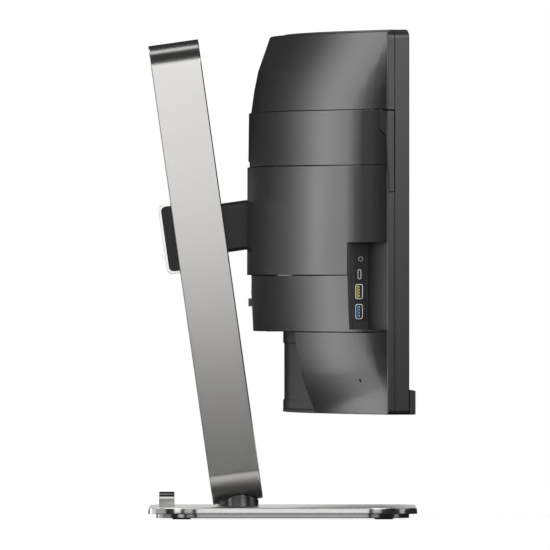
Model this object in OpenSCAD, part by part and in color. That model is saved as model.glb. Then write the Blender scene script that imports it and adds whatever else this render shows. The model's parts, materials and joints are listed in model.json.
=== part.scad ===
/* [Head] */
// Radius of the screen's curve, measured to the glass
screen_r = 1800; // [1780:5:1820]
// Half of the angle that the head spans about the centre of the curve, in degrees
half_angle = 19.35; // [19.3:0.05:19.4]
// Height of the head's bottom edge above the desk
head_bottom = 103.6; // [103:0.2:104]
// Height of the head's top edge above the desk
head_top = 470.4; // [470:0.2:471]
// Height of the chin strip
chin_h = 23.9; // [20:0.1:26]
// Wall of the rear covers
cover_t = 3.5; // [3:0.1:4]

/* [Column] */
// Backward lean of the column, in degrees
lean = 8.064; // [8:0.01:8.2]
// Width of the column loop, across the screen
loop_w = 60; // [60:0.5:61]
// Depth of the column loop
loop_d = 49.2; // [49:0.1:50]
// Thickness of the column band
band_t = 6; // [6:0.1:6.4]
// Length of the column along its own axis, from its centre of lean at desk level
column_top = 468; // [464:0.5:470]

/* [Base] */
// Width of the base, along the screen
base_w = 420; // [380:5:480]
// Depth of the base
base_d = 261.2; // [261:0.1:262]
// Corner radius of the base plate in plan
base_r = 50; // [40:1:60]

/* [Hinge] */
// Distance of the tilt axis behind the frame's origin
tilt_y = 25; // [24.8:0.1:25.2]
// Height of the tilt axis at rest
tilt_z = 284.6; // [284:0.1:285]
// Radius of the tilt pin
pin_r = 5; // [4.8:0.1:5]
// Spacing of the wall mount's threaded holes
vesa = 100; // [100:1:101]
// Radius of the wall mount's tapped holes, for M4
vesa_r = 1.65; // [1.6:0.05:1.8]

/* [Hidden] */
$fn = 96;

// Centre of the screen's curve, in front of the screen
cf = -17.5 - screen_r;
// Centre of the rear cover's flatter curve
cb = -1558.5;
// Centre of the still flatter curve of the band that carries the rear sockets
cp = -1614.8;
// Heights of the seams between the rear covers
z_lo = head_bottom;
z1 = 182;
z2 = 236.5;
z3 = 341.5;
z4 = 394.5;
z_hi = head_top - 1.5;
// Half width of the cut-away at the bottom of the rear cover
cut_x = 355;
// Face that holds the side ports
bay_x = 543;
bay_z0 = 184.6;
bay_z1 = 268;
col_y = 41.3;      // where the column's axis meets the desk
hub_y = 43.5;      // swivel axis
col_bot = 15.6;    // lowest point of the loop along the column's axis
recess = [61.8, 222, 347];

// ---------- shared shapes ----------
module ring(r0, r1, za, zb, a)
  translate([0, cf, za]) rotate_extrude(angle = 2 * a, start = 90 - a, $fn = 720)
    translate([r0, 0]) square([r1 - r0, zb - za]);

// the frame at an end of the head: x runs inward from the end face, y rearward
module at_end() translate([0, cf, 0]) rotate([0, 0, half_angle]) translate([0, -cf, 0]) children();
module about_front(a) translate([0, cf, 0]) rotate([0, 0, a]) translate([0, -cf, 0]) children();

// the column's own frame: z along the leaning axis
module in_column() translate([0, col_y, 0]) rotate([-lean, 0, 0]) children();

module rrect(x0, x1, y0, y1, r) {
  translate([x0 + r, y0]) square([x1 - x0 - 2 * r, y1 - y0]);
  translate([x0, y0 + r]) square([x1 - x0, y1 - y0 - 2 * r]);
  for (x = [x0 + r, x1 - r], y = [y0 + r, y1 - r]) translate([x, y]) circle(r);
}

// a 2D outline drawn in (y, z) and extruded along x
module along_x(x0, x1) translate([x0, 0, 0]) rotate([90, 0, 90]) linear_extrude(x1 - x0) children();
// a 2D outline drawn in (x, z) and extruded along y
module along_y(y0, y1) translate([0, y1, 0]) rotate([90, 0, 0]) linear_extrude(y1 - y0) children();

// plan outline of the rear cover: main curve, then a rounded flank at each end
function y_main(x, r) = cb + sqrt(r * r - x * x);
function y_flank(x, i) = abs(x) <= 543 ? 999 : -190.6 + sqrt(pow(138 - i, 2) - pow(abs(x) - 495.8, 2));
function y_rear(x, y0, i) = min(y_main(x, y0 - cb - i), y_flank(x, i));
function y_thin(x, r) = cf + sqrt(r * r - x * x);
function xs(e) = concat([for (k = [-18:18]) k * 543 / 18], [for (k = [1:10]) 543 + (e - 543) * (1 - pow(1 - k / 10, 1.6))]);
function xs_all(e) = concat([for (k = [10:-1:1]) -(543 + (e - 543) * (1 - pow(1 - k / 10, 1.6)))], xs(e));
module plan(y0, i, e, rf) polygon(concat(
  [for (x = xs_all(e)) [x, y_rear(x, y0, i)]],
  [for (k = [24:-1:-24]) let (x = k * e / 24) [x, y_thin(x, rf)]]));

// a band of the rear cover's outer form between two heights; prof is [z, y at the middle]
module form(prof, i, za, zb, rf, e, skirt = false, cc = cb) intersection() {
  translate([0, 0, za]) linear_extrude(zb - za) plan(36.2, i, e, rf);
  union() {
    if (skirt) ring(screen_r - 30, screen_r + 19.6, prof[0][0] - 4, prof[len(prof) - 1][0] + 4, 22);
    translate([0, cc, 0]) rotate_extrude(angle = 48, start = 66, $fn = 720)
    polygon(concat([[1400, prof[0][0] - 5]], [for (p = [[prof[0][0] - 5, prof[0][1]]]) [p[1] - cc - i, p[0]]],
      [for (p = prof) [p[1] - cc - i, p[0]]],
      [for (p = [[prof[len(prof) - 1][0] + 5, prof[len(prof) - 1][1]]]) [p[1] - cc - i, p[0]]],
      [[1400, prof[len(prof) - 1][0] + 5]]));
  }
}
module cover(prof, za, zb, floor_t = 0, roof_t = 0, skirt = false, cc = cb) difference() {
  form(prof, 0, za, zb, 1817.4, 599, skirt, cc);
  form(prof, cover_t, floor_t > 0 ? za + floor_t : za - 1, roof_t > 0 ? zb - roof_t : zb + 1, 1812, 594.5, false, cc);
}
prof_top = [[394.5, 30.8], [415, 28], [435, 24], [468.9, 12.2]];
prof_3 = [[341.5, 33.6], [394.5, 33]];
prof_4 = [[236.5, 36], [341.5, 35.6]];
prof_5 = [[182, 28.8], [236.5, 31.5]];
prof_low = [[103.6, 9.6], [143, 23.8], [160, 26.9], [182, 29]];

module recess_cut() translate([-recess[0] - 0.2, -5, recess[1] - 0.2]) cube([2 * recess[0] + 0.4, 60, recess[2] - recess[1] + 0.4]);
module bay_cut() translate([-640, -130, bay_z0]) cube([640 - bay_x, 100, bay_z1 - bay_z0]);

// outline of the folding hook in (y, z) of the end frame; g grows it into its pocket
module hook_outline(g, top = 393.1) polygon([[-3.7 - g, 316 - g], [1.2 + g, 316 - g], [3 + g, 370 - g], [6.7 + g, 376 - g],
  [6.7 + g, top], [-3.7 - g, top]]);
module hook_pocket() at_end() {
  translate([-2, 0, 0]) along_x(0, 9.6) hook_outline(0.5, 394.6);
  along_x(7, 16.2) polygon([[-4.2, 369.5], [3.5, 369.5], [7.2, 375.5], [7.2, 394.6], [-4.2, 394.6]]);
}

// ---------- base ----------
module base_plate() color([0.78, 0.78, 0.77]) difference() {
  translate([0, 0, 5.1]) linear_extrude(6) rrect(-base_w / 2, base_w / 2, -base_d / 2, base_d / 2, base_r);
  translate([0, hub_y, 9.6]) cylinder(r = 15.2, h = 3);
  translate([0, hub_y, 4]) cylinder(r = 6.02, h = 8);
  for (x = [-150, 150], y = [-80, 80]) translate([x, y, 4]) cylinder(r = 2.05, h = 5);
}
module base_under_plate() color([0.62, 0.62, 0.61]) difference() {
  translate([0, 0, 1.2]) linear_extrude(3.9) rrect(8 - base_w / 2, base_w / 2 - 8, 8 - base_d / 2, base_d / 2 - 8, base_r - 8);
  translate([0, hub_y, 1]) cylinder(r = 10, h = 5);
  for (x = [-150, 150], y = [-80, 80]) translate([x, y, 1]) cylinder(r = 4.3, h = 5);
}
module rubber_feet() color([0.1, 0.1, 0.1])
  for (x = [-178, 0, 178], y = [-98, 98]) translate([x, y, 0]) cylinder(r = 9, h = 1.2);
module base_screws() color([0.4, 0.4, 0.4]) for (x = [-150, 150], y = [-80, 80]) translate([x, y, 0]) difference() {
  union() { translate([0, 0, 2]) cylinder(r = 4, h = 3.1); translate([0, 0, 5]) cylinder(r = 2, h = 3.6); }
  translate([0, 0, 1.9]) cylinder(r = 1.5, h = 1.6, $fn = 6);
}
module cable_hoop() color([0.72, 0.72, 0.71]) along_y(105.7, 120.6) difference() {
  union() { translate([-22, 11.1]) square([44, 5]); rrect(-22, 22, 11.1, 25.1, 6.8); }
  union() { translate([-20, 10]) square([40, 8]); rrect(-20, 20, 10, 23.1, 5); }
}
module swivel_disc() color([0.85, 0.85, 0.82]) translate([0, hub_y, 9.6]) difference() {
  cylinder(r = 15, h = 1.5);
  translate([0, 0, -1]) cylinder(r = 6.1, h = 4);
}
module swivel_bolt() color([0.5, 0.5, 0.5]) translate([0, hub_y, 0]) {
  translate([0, 0, 2]) cylinder(r = 9.5, h = 3.1);
  translate([0, 0, 4]) cylinder(r = 6, h = 32.5);
  translate([0, 0, 28.4]) cylinder(r = 10.8, h = 1.6);
  translate([0, 0, 29.5]) cylinder(r = 9.5, h = 5.5, $fn = 6);
}

// ---------- column ----------
module loop_outline(g) {
  w = loop_w / 2 - g; b = col_bot + g; t = column_top - g; rt = 24 - g; 
  translate([0, b + w]) circle(w);
  translate([-w, b + w]) square([2 * w, t - rt - b - w]);
  translate([-w + rt, t - rt - 1]) square([2 * (w - rt), rt + 1]);
  for (x = [-w + rt, w - rt]) translate([x, t - rt]) circle(rt);
}
module hub_cover() color([0.2, 0.2, 0.21]) difference() {
  translate([0, hub_y, 11.45]) cylinder(r = 20, h = 22);
  in_column() along_y(-60, 60) loop_outline(-0.1);
  translate([0, hub_y, 10]) cylinder(r = 6.05, h = 30);
}
module column_band() color([0.82, 0.82, 0.81]) difference() {
  in_column() along_y(-loop_d / 2, loop_d / 2) difference() { loop_outline(0); loop_outline(band_t); }
  translate([0, hub_y, 0]) cylinder(r = 6.5, h = 40);
}
module column_core() color([0.2, 0.2, 0.21]) difference() {
  in_column() difference() {
    along_y(-21.6, 21.6) loop_outline(band_t + 0.2);
    along_y(-18.8, 18.8) loop_outline(band_t + 3);
    translate([-18, -30, 206]) cube([36, 15, 212]);
  }
  translate([0, hub_y, 0]) cylinder(r = 6.5, h = 40);
}
module guide_rails() color([0.75, 0.75, 0.75]) in_column() for (x = [-14, 14]) translate([x, 0, 168]) cylinder(r = 3, h = 273);
module rail_blocks() color([0.35, 0.35, 0.35]) in_column() for (s = [166, 437.5]) difference() {
  translate([-20.8, -10, s]) cube([41.6, 20, 5.5]);
  for (x = [-14, 14]) translate([x, 0, 160]) cylinder(r = 3.02, h = 300);
}
module spring_drum() color([0.88, 0.88, 0.86]) in_column() translate([0, 6.2, 424]) rotate([0, 90, 0]) {
  cylinder(r = 8.9, h = 17, center = true);
  cylinder(r = 2.5, h = 41.6, center = true);
}
module lift_spring() color([0.5, 0.55, 0.6]) in_column() {
  translate([0, 6.2, 424]) rotate([0, 90, 0]) difference() {
    cylinder(r = 12.2, h = 16, center = true);
    cylinder(r = 9, h = 17, center = true);
  }
  translate([-8, 17.8, 206]) cube([16, 0.6, 218]);
}
module guide_side(g) rrect(15, 37 - g, 244.5 + g, 313 - g, 9 - g);
module cable_guide() color([0.22, 0.22, 0.23]) in_column() difference() {
  along_x(-27, 27) guide_side(0);
  translate([-40, 0, 240]) cube([80, 24.7, 80]);
  translate([-20, 20, 240]) cube([40, 13.5, 80]);
}
module cable_guide_trim() color([0.82, 0.82, 0.81]) in_column() for (x = [-28.2, 27]) difference() {
  along_x(x, x + 1.2) guide_side(0);
  along_x(x - 1, x + 3) guide_side(2.6);
  translate([-40, 0, 240]) cube([80, 24.7, 80]);
}

// ---------- carriage and arm ----------
module carriage_block() color([0.45, 0.45, 0.46]) in_column() difference() {
  translate([-20, -13, 256]) cube([40, 24, 52]);
  for (x = [-14, 14]) translate([x, 0, 250]) cylinder(r = 4.5, h = 70);
}
module carriage_bushes() color([0.9, 0.9, 0.86]) in_column() for (x = [-14, 14], s = [254, 296]) translate([x, 0, s]) difference() {
  cylinder(r = 4.48, h = 14);
  translate([0, 0, -1]) cylinder(r = 3.05, h = 20);
}
module support_arm() color([0.25, 0.25, 0.26]) difference() {
  union() {
    in_column() along_x(-17, 17) polygon([[-13.05, 258], [-50, 258], [-53, 261], [-53, 303], [-50, 306], [-13.05, 306]]);
    translate([-17, tilt_y, tilt_z]) rotate([0, 90, 0]) cylinder(r = 9, h = 34);
  }
  translate([-20, tilt_y, tilt_z]) rotate([0, 90, 0]) cylinder(r = pin_r + 0.02, h = 40);
}
module hinge_pin() color([0.7, 0.7, 0.7]) translate([0, tilt_y, tilt_z]) rotate([0, 90, 0]) {
  cylinder(r = pin_r, h = 56, center = true);
  for (x = [-29, 26]) translate([0, 0, x]) cylinder(r = 7.4, h = 3);
}
module friction_washers() color([0.55, 0.5, 0.42]) for (x = [-20.3, 17.1]) translate([x, tilt_y, tilt_z]) rotate([0, 90, 0]) difference() {
  cylinder(r = 8.5, h = 3.2);
  translate([0, 0, -1]) cylinder(r = pin_r + 0.03, h = 6);
}

// ---------- head: mount ----------
module tilt_bracket() color([0.5, 0.5, 0.5]) for (m = [0, 1]) mirror([m, 0, 0]) difference() {
  union() {
    translate([20.7, tilt_y, tilt_z]) rotate([0, 90, 0]) cylinder(r = 9, h = 4.9);
    translate([20.7, 14.5, tilt_z - 9]) cube([4.9, tilt_y - 14.5, 18]);
    translate([20.7, 14.5, tilt_z - 20]) cube([12, 2.5, 40]);
  }
  translate([15, tilt_y, tilt_z]) rotate([0, 90, 0]) cylinder(r = pin_r + 0.06, h = 15);
}
mount_xy = [33, 44];
module mount_plate() color([0.42, 0.42, 0.43]) difference() {
  translate([0, 0, tilt_z]) along_y(11.5, 14.5) rrect(-41, 41, -54, 54, 5);
  for (x = [-1, 1], z = [-1, 1]) translate([x * mount_xy[0], 10, tilt_z + z * mount_xy[1]]) rotate([-90, 0, 0]) cylinder(r = 2.2, h = 8);
}
module mount_screws() color([0.6, 0.6, 0.6]) for (x = [-1, 1], z = [-1, 1]) translate([x * mount_xy[0], 6, tilt_z + z * mount_xy[1]]) rotate([-90, 0, 0]) difference() {
  union() { cylinder(r = 1.6, h = 9); translate([0, 0, 8.5]) cylinder(r = 3.6, h = 2.4); }
  translate([0, 0, 9.6]) cylinder(r = 1.4, h = 2, $fn = 6);
}
module mount_recess() color([0.14, 0.14, 0.15]) {
  difference() {
    translate([-recess[0], 7.2, recess[1]]) cube([2 * recess[0], 2.2, recess[2] - recess[1]]);
    for (x = [-1, 1], z = [-1, 1]) {
      translate([x * vesa / 2, 5, tilt_z + z * vesa / 2]) rotate([-90, 0, 0]) cylinder(r = 4.7, h = 8);
      translate([x * mount_xy[0], 5, tilt_z + z * mount_xy[1]]) rotate([-90, 0, 0]) cylinder(r = 4.7, h = 8);
    }
  }
  for (x = [-recess[0], recess[0] - 2.2]) translate([x, 9.44, recess[1]]) cube([2.2, 21.06, recess[2] - recess[1]]);
  for (z = [recess[1], recess[2] - 2.2]) translate([2.24 - recess[0], 9.44, z]) cube([2 * recess[0] - 4.48, 21.06, 2.2]);
}
module chassis_plate() color([0.66, 0.67, 0.68]) difference() {
  union() {
    translate([0, 0, 0]) along_y(4.6, 7) rrect(-150, 150, 200.5, 372, 6);
    for (x = [-1, 1], z = [-1, 1]) {
      translate([x * vesa / 2, 6, tilt_z + z * vesa / 2]) rotate([-90, 0, 0]) cylinder(r = 4.5, h = 5.4);
      translate([x * mount_xy[0], 6, tilt_z + z * mount_xy[1]]) rotate([-90, 0, 0]) cylinder(r = 4.5, h = 5.5);
    }
    for (x = [-130, 130], z = [212, 358]) translate([x, -12.6, z]) rotate([-90, 0, 0]) cylinder(r = 4, h = 18);
  }
  for (x = [-1, 1], z = [-1, 1]) {
    translate([x * vesa / 2, 0, tilt_z + z * vesa / 2]) rotate([-90, 0, 0]) cylinder(r = vesa_r, h = 15);
    translate([x * mount_xy[0], 0, tilt_z + z * mount_xy[1]]) rotate([-90, 0, 0]) cylinder(r = 1.65, h = 15);
  }
}

// ---------- head: screen ----------
button_x = [502, 521, 540, 559];
module at_button(x, r) about_front(-asin(x / r)) translate([0, r + cf, 0]) children();
module front_bezel() color([0.23, 0.23, 0.24]) difference() {
  ring(screen_r - 1.7, screen_r + 13.2, head_bottom, head_top, half_angle);
  ring(screen_r, screen_r + 15, head_bottom + 2.8, head_top - 2.8, half_angle - 0.088);
  ring(screen_r - 5, screen_r + 1, head_bottom + 17.4, head_top - 6.8, half_angle - 0.3);
  for (x = button_x) at_button(x, 1807.5) translate([-6.4, -4.4, 100]) cube([12.8, 8.8, 10]);
}
module chin_strip() color([0.2, 0.2, 0.21]) ring(screen_r - 7.8, screen_r - 1.7, head_bottom, head_bottom + chin_h, half_angle);
module mid_frame() color([0.2, 0.2, 0.21]) difference() {
  union() {
    ring(screen_r + 13.3, screen_r + 17.3, head_bottom, head_top, half_angle);
    intersection() {
      ring(screen_r + 17, screen_r + 20, head_bottom, z_hi, half_angle);
      at_end() translate([0, -20, 50]) cube([3.3, 60, 450]);
    }
    mirror([1, 0, 0]) intersection() {
      ring(screen_r + 17, screen_r + 20, head_bottom, z_hi, half_angle);
      at_end() translate([0, -20, 50]) cube([3.3, 60, 450]);
    }
  }
  ring(screen_r + 10, screen_r + 22, head_bottom + 3, z_hi - 3, half_angle - 0.5);
  hook_pocket();
}
module lcd_panel() color([0.02, 0.02, 0.025]) ring(screen_r + 0.2, screen_r + 1.6, head_bottom + 4, head_top - 4, half_angle - 0.13);
module diffuser_sheets() color([0.93, 0.93, 0.93]) ring(screen_r + 2, screen_r + 3.5, head_bottom + 6, head_top - 5, half_angle - 0.16);
module light_guide() color([0.8, 0.9, 0.92]) ring(screen_r + 4, screen_r + 7, head_bottom + 9, head_top - 5.5, half_angle - 0.18);
module led_bar() color([0.95, 0.93, 0.6]) ring(screen_r + 4, screen_r + 7, head_bottom + 6, head_bottom + 8.6, half_angle - 1.6);
module backlight_tray() color([0.7, 0.71, 0.72]) ring(screen_r + 7.6, screen_r + 8.8, head_bottom + 6.5, head_top - 5, half_angle - 0.18);

// ---------- head: rear covers ----------
module rear_top_shell() color([0.24, 0.24, 0.25]) cover(prof_top, z4, z_hi, 0, 2.6, true);
module rear_upper_band() color([0.24, 0.24, 0.25]) difference() {
  cover(prof_3, z3, z4);
  recess_cut();
  hook_pocket();
}
module rear_center_cover() color([0.23, 0.23, 0.24]) difference() {
  cover(prof_4, z2, z3);
  recess_cut();
  hook_pocket();
  bay_cut();
}
ports_x = [78, 104, 130, 156, 180];
module rear_port_cover() color([0.24, 0.24, 0.25]) {
  difference() {
    cover(prof_5, z1, z2, cc = cp);
    recess_cut();
    bay_cut();
    translate([-4.6, 10, 205.4]) cube([9.2, 30, 9.2]);
  }
  // ledge under the sockets, in three lengths with the mains inlet and its switch between them
  difference() {
    form(prof_5, cover_t + 0.05, z1, z1 + 2.5, 1817.4, 594.4, false, cp);
    translate([-131.4, -60, z1 - 1]) cube([28.8, 120, 5]);
    translate([-89.4, -60, z1 - 1]) cube([18.8, 120, 5]);
    for (k = [0:4]) translate([ports_x[k] - 8.6, 3.2, z1 - 1]) cube([17.2, 9.4, 5]);
  }
}
module low_side() difference() {
  cover(prof_low, z_lo, z1, 2.6, 0, true);
  translate([-cut_x, -200, 50]) cube([2 * cut_x, 300, 200]);
}
module rear_lower_shells() color([0.24, 0.24, 0.25]) difference() {
  union() {
    low_side();
    intersection() {
      form(prof_low, 0.6, z_lo, z1, 1817.4, 598);
      for (x = [-cut_x - 3, cut_x]) translate([x, -200, 50]) cube([3, 300, 200]);
    }
  }
  translate([-538, -72.9, 135.9]) rotate([0, 0, 20]) cube([7, 20, 3.1], center = true);
}
module back_panel() color([0.15, 0.15, 0.16]) difference() {
  intersection() {
    ring(screen_r + 14, screen_r + 17.1, z_lo + 3.2, z1 - 0.2, 13);
    translate([0.3 - cut_x, -100, 100]) cube([2 * cut_x - 0.6, 120, 90]);
  }
  ring(screen_r + 15.7, screen_r + 30, z_lo + 13, z1 - 12, 10.6);
}
module main_board() color([0.05, 0.35, 0.18]) {
  translate([66, 9, 194]) cube([146, 1.6, 136]);
  translate([90, 10.6, 250]) cube([34, 3, 34]);
  translate([140, 10.6, 262]) cube([22, 2, 22]);
  translate([80, 10.6, 300]) cube([50, 4, 12]);
}
module power_board() color([0.42, 0.28, 0.1]) {
  translate([-212, 9, 202]) cube([146, 1.6, 128]);
  translate([-110, 10.6, 270]) cube([32, 13, 30]);
  for (x = [-150, -130], z = [250, 280]) translate([x, 10.6, z]) rotate([-90, 0, 0]) cylinder(r = 7, h = 9);
  translate([-180, 10.6, 300]) cube([60, 6, 14]);
}
module speakers() color([0.12, 0.12, 0.12]) for (a = [-13.5, 13.5]) about_front(a) {
  translate([-40, 1, 147]) cube([80, 8, 31]);
}

// ---------- head: ports ----------
jack = [-74.3, 252];
usbc = [-73.1, 237.4];
usba = [[-72.7, 220.9], [-72.7, 201.8]];
bay_xs = [for (k = [0:6]) -(bay_x - 2.2 + k * 8.8)];
module port_bay() color([0.13, 0.13, 0.14]) difference() {
  union() {
    translate([0, 0, bay_z0 + 0.1]) linear_extrude(bay_z1 - bay_z0 + 2) polygon(concat(
      [for (x = bay_xs) [x, y_thin(x, 1819)]],
      [for (k = [6:-1:0]) [bay_xs[k], y_thin(bay_xs[k], 1817.6)]]));
    along_x(-bay_x, 2.2 - bay_x) polygon([[-82, bay_z0 + 0.1], [-67.5, bay_z0 + 0.1], [-64.9, z2 - 0.2], [-64.9, bay_z1 + 2.1], [-82, bay_z1 + 2.1]]);
    translate([0, 0, bay_z1 + 0.2]) linear_extrude(1.9) polygon(concat(
      [for (x = bay_xs) if (x > -590) [x, y_rear(x, 36.2, cover_t + 0.7)]],
      [for (k = [6:-1:0]) if (bay_xs[k] > -590) [bay_xs[k], y_thin(bay_xs[k], 1818.2)]]));
  }
  translate([-560, jack[0], jack[1]]) rotate([0, 90, 0]) cylinder(r = 3.05, h = 30);
  translate([-560, usbc[0] - 1.75, usbc[1] - 4.95]) cube([30, 3.5, 9.9]);
  for (u = usba) translate([-560, u[0] - 3.75, u[1] - 7.3]) cube([30, 7.5, 14.6]);
}
module audio_jack() color([0.1, 0.1, 0.1]) translate([-bay_x - 0.6, jack[0], jack[1]]) rotate([0, 90, 0]) difference() {
  cylinder(r = 3, h = 12.6);
  translate([0, 0, -1]) cylinder(r = 1.8, h = 12);
}
module usb_c_port() color([0.75, 0.75, 0.75]) translate([-bay_x - 0.4, usbc[0], usbc[1]]) {
  difference() {
    translate([0, -1.65, -4.8]) cube([9.4, 3.3, 9.6]);
    translate([-1, -1.3, -4.4]) cube([9.4, 2.6, 8.8]);
  }
  translate([1.2, -0.35, -3.2]) cube([8, 0.7, 6.4]);
}
module usb_a_shells() color([0.78, 0.78, 0.78]) for (u = usba) translate([-bay_x - 0.5, u[0], u[1]]) difference() {
  translate([0, -3.6, -7.2]) cube([13, 7.2, 14.4]);
  translate([-1, -3.1, -6.7]) cube([13, 6.2, 13.4]);
}
module usb_tongues() for (k = [0, 1]) color(k == 0 ? [0.75, 0.72, 0.1] : [0.1, 0.35, 0.7]) translate([-bay_x + 0.6, usba[k][0], usba[k][1]])
  translate([0, 0.4, -5.8]) cube([10.8, 1.9, 11.6]);
module video_shells() for (k = [0:4]) translate([ports_x[k], 7.9, z1 + 0.4]) difference() {
  translate([-8.2, -4.3, 0]) cube([16.4, 8.6, 11.4]);
  translate([-7.4, -2.9, -1]) cube([14.8, 5.8, 11]);
}
module video_tongues() for (k = [0:4]) translate([ports_x[k] - 5.6, 6.9, z1 + 1.6]) cube([11.2, 2, 9.6]);
module video_ports() color([0.72, 0.72, 0.72]) { video_shells(); video_tongues(); }
module ac_inlet() color([0.08, 0.08, 0.08]) {
  translate([-117, 10.6, z1 + 0.3]) difference() {
    translate([-13.9, -8.9, 0]) cube([27.8, 17.8, 16]);
    translate([-12, -7, -1]) cube([24, 14, 15]);
  }
  for (x = [-7, 0, 7]) translate([-117 + x - 1, 11.2 + (x == 0 ? 2.6 : 0), z1 + 3]) cube([2, 1.2, 12.6]);
  translate([-80, 12.1, z1 + 0.3]) difference() {
    translate([-9, -6, 0]) cube([18, 12, 14]);
    translate([-7.6, -4.6, -1]) cube([15.2, 9.2, 12.6]);
  }
  // flanges that fill the ledge's openings round the inlet and the switch
  intersection() {
    union() {
      translate([-131.2, -3.4, z1 + 0.4]) cube([28.4, 4.9, 1.9]);
      translate([-131.2, 19.7, z1 + 0.4]) cube([28.4, 1.2, 1.9]);
      translate([-89.2, -1.6, z1 + 0.4]) cube([18.4, 7.5, 1.9]);
      translate([-89.2, 18.3, z1 + 0.4]) cube([18.4, 3, 1.9]);
    }
    form(prof_5, cover_t + 0.15, z1, z1 + 3, 1817.2, 594.2, false, cp);
  }
}
module rocker_switch() color([0.09, 0.09, 0.09]) translate([-80, 12.1, z1 + 4.5]) {
  rotate([0, -7, 0]) translate([-7.0, -4.0, -4]) cube([14.0, 8.0, 6]);
  rotate([90, 0, 0]) cylinder(r = 1.3, h = 8.6, center = true);
}
module hook_pin() color([0.7, 0.7, 0.7]) at_end() translate([3.6, -4.1, 319.7]) rotate([-90, 0, 0]) cylinder(r = 1.25, h = 5.7);
module button_board() color([0.05, 0.35, 0.18]) at_button(530.5, 1811) translate([-38, -0.8, 109.8]) cube([76, 1.4, 9]);

// ---------- moving small parts ----------
module headset_hook() color([0.2, 0.2, 0.21]) difference() {
  union() {
    intersection() {
      at_end() {
        difference() {
          along_x(0.15, 7) hook_outline(0);
          translate([-1, -20, 310]) cube([10, 60, 9.7]);
        }
        translate([3.6, -3.7, 319.7]) rotate([-90, 0, 0]) cylinder(r = 3.4, h = 4.9);
        translate([6.9, -3.7, 384.6]) cube([7.2, 3.9, 6.9]);
      }
      union() {
        ring(screen_r + 10, screen_r + 19.9, 300, 400, half_angle);
        translate([0, 0, 300]) linear_extrude(100) plan(33, 0.1, 599, 1817.4);
      }
    }
    // the head's outer wall carries on round the flank
    intersection() {
      at_end() along_x(6.9, 15.4) polygon([[-3.7, 370], [3, 370], [6.7, 376], [6.7, 393.1], [-3.7, 393.1]]);
      difference() {
        translate([0, 0, 300]) linear_extrude(100) plan(33, 0.1, 599, 1817.4);
        translate([0, 0, 299]) linear_extrude(102) plan(33, 4.6, 598.9, 1790);
      }
    }
  }
  at_end() translate([3.6, -10, 319.7]) rotate([-90, 0, 0]) cylinder(r = 1.3, h = 30);
}
module release_button() color([0.7, 0.7, 0.7]) {
  translate([-4, 25, 206]) cube([8, 8.6, 8]);
  translate([-5.6, 23.9, 204.4]) cube([11.2, 2.1, 11.2]);
}
module key_cap(x) at_button(x, 1807.5) {
  translate([-6, -4, 102]) cube([12, 8, 5.5]);
  translate([-7, -4.2, 107.3]) cube([14, 8.4, 0.8]);
}
module menu_button() color([0.1, 0.1, 0.1]) key_cap(button_x[0]);
module minus_button() color([0.1, 0.1, 0.1]) key_cap(button_x[1]);
module plus_button() color([0.1, 0.1, 0.1]) key_cap(button_x[2]);
module power_button() color([0.1, 0.1, 0.1]) key_cap(button_x[3]);

base_plate();
base_under_plate();
rubber_feet();
base_screws();
cable_hoop();
swivel_disc();
swivel_bolt();
hub_cover();
column_band();
column_core();
guide_rails();
rail_blocks();
spring_drum();
lift_spring();
cable_guide();
cable_guide_trim();
carriage_block();
carriage_bushes();
support_arm();
hinge_pin();
friction_washers();
tilt_bracket();
mount_plate();
mount_screws();
mount_recess();
chassis_plate();
front_bezel();
chin_strip();
mid_frame();
lcd_panel();
diffuser_sheets();
light_guide();
led_bar();
backlight_tray();
rear_top_shell();
rear_upper_band();
rear_center_cover();
rear_port_cover();
rear_lower_shells();
back_panel();
main_board();
power_board();
speakers();
port_bay();
audio_jack();
usb_c_port();
usb_a_shells();
usb_tongues();
video_ports();
ac_inlet();
hook_pin();
button_board();
headset_hook();
release_button();
rocker_switch();
menu_button();
minus_button();
plus_button();
power_button();
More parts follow.
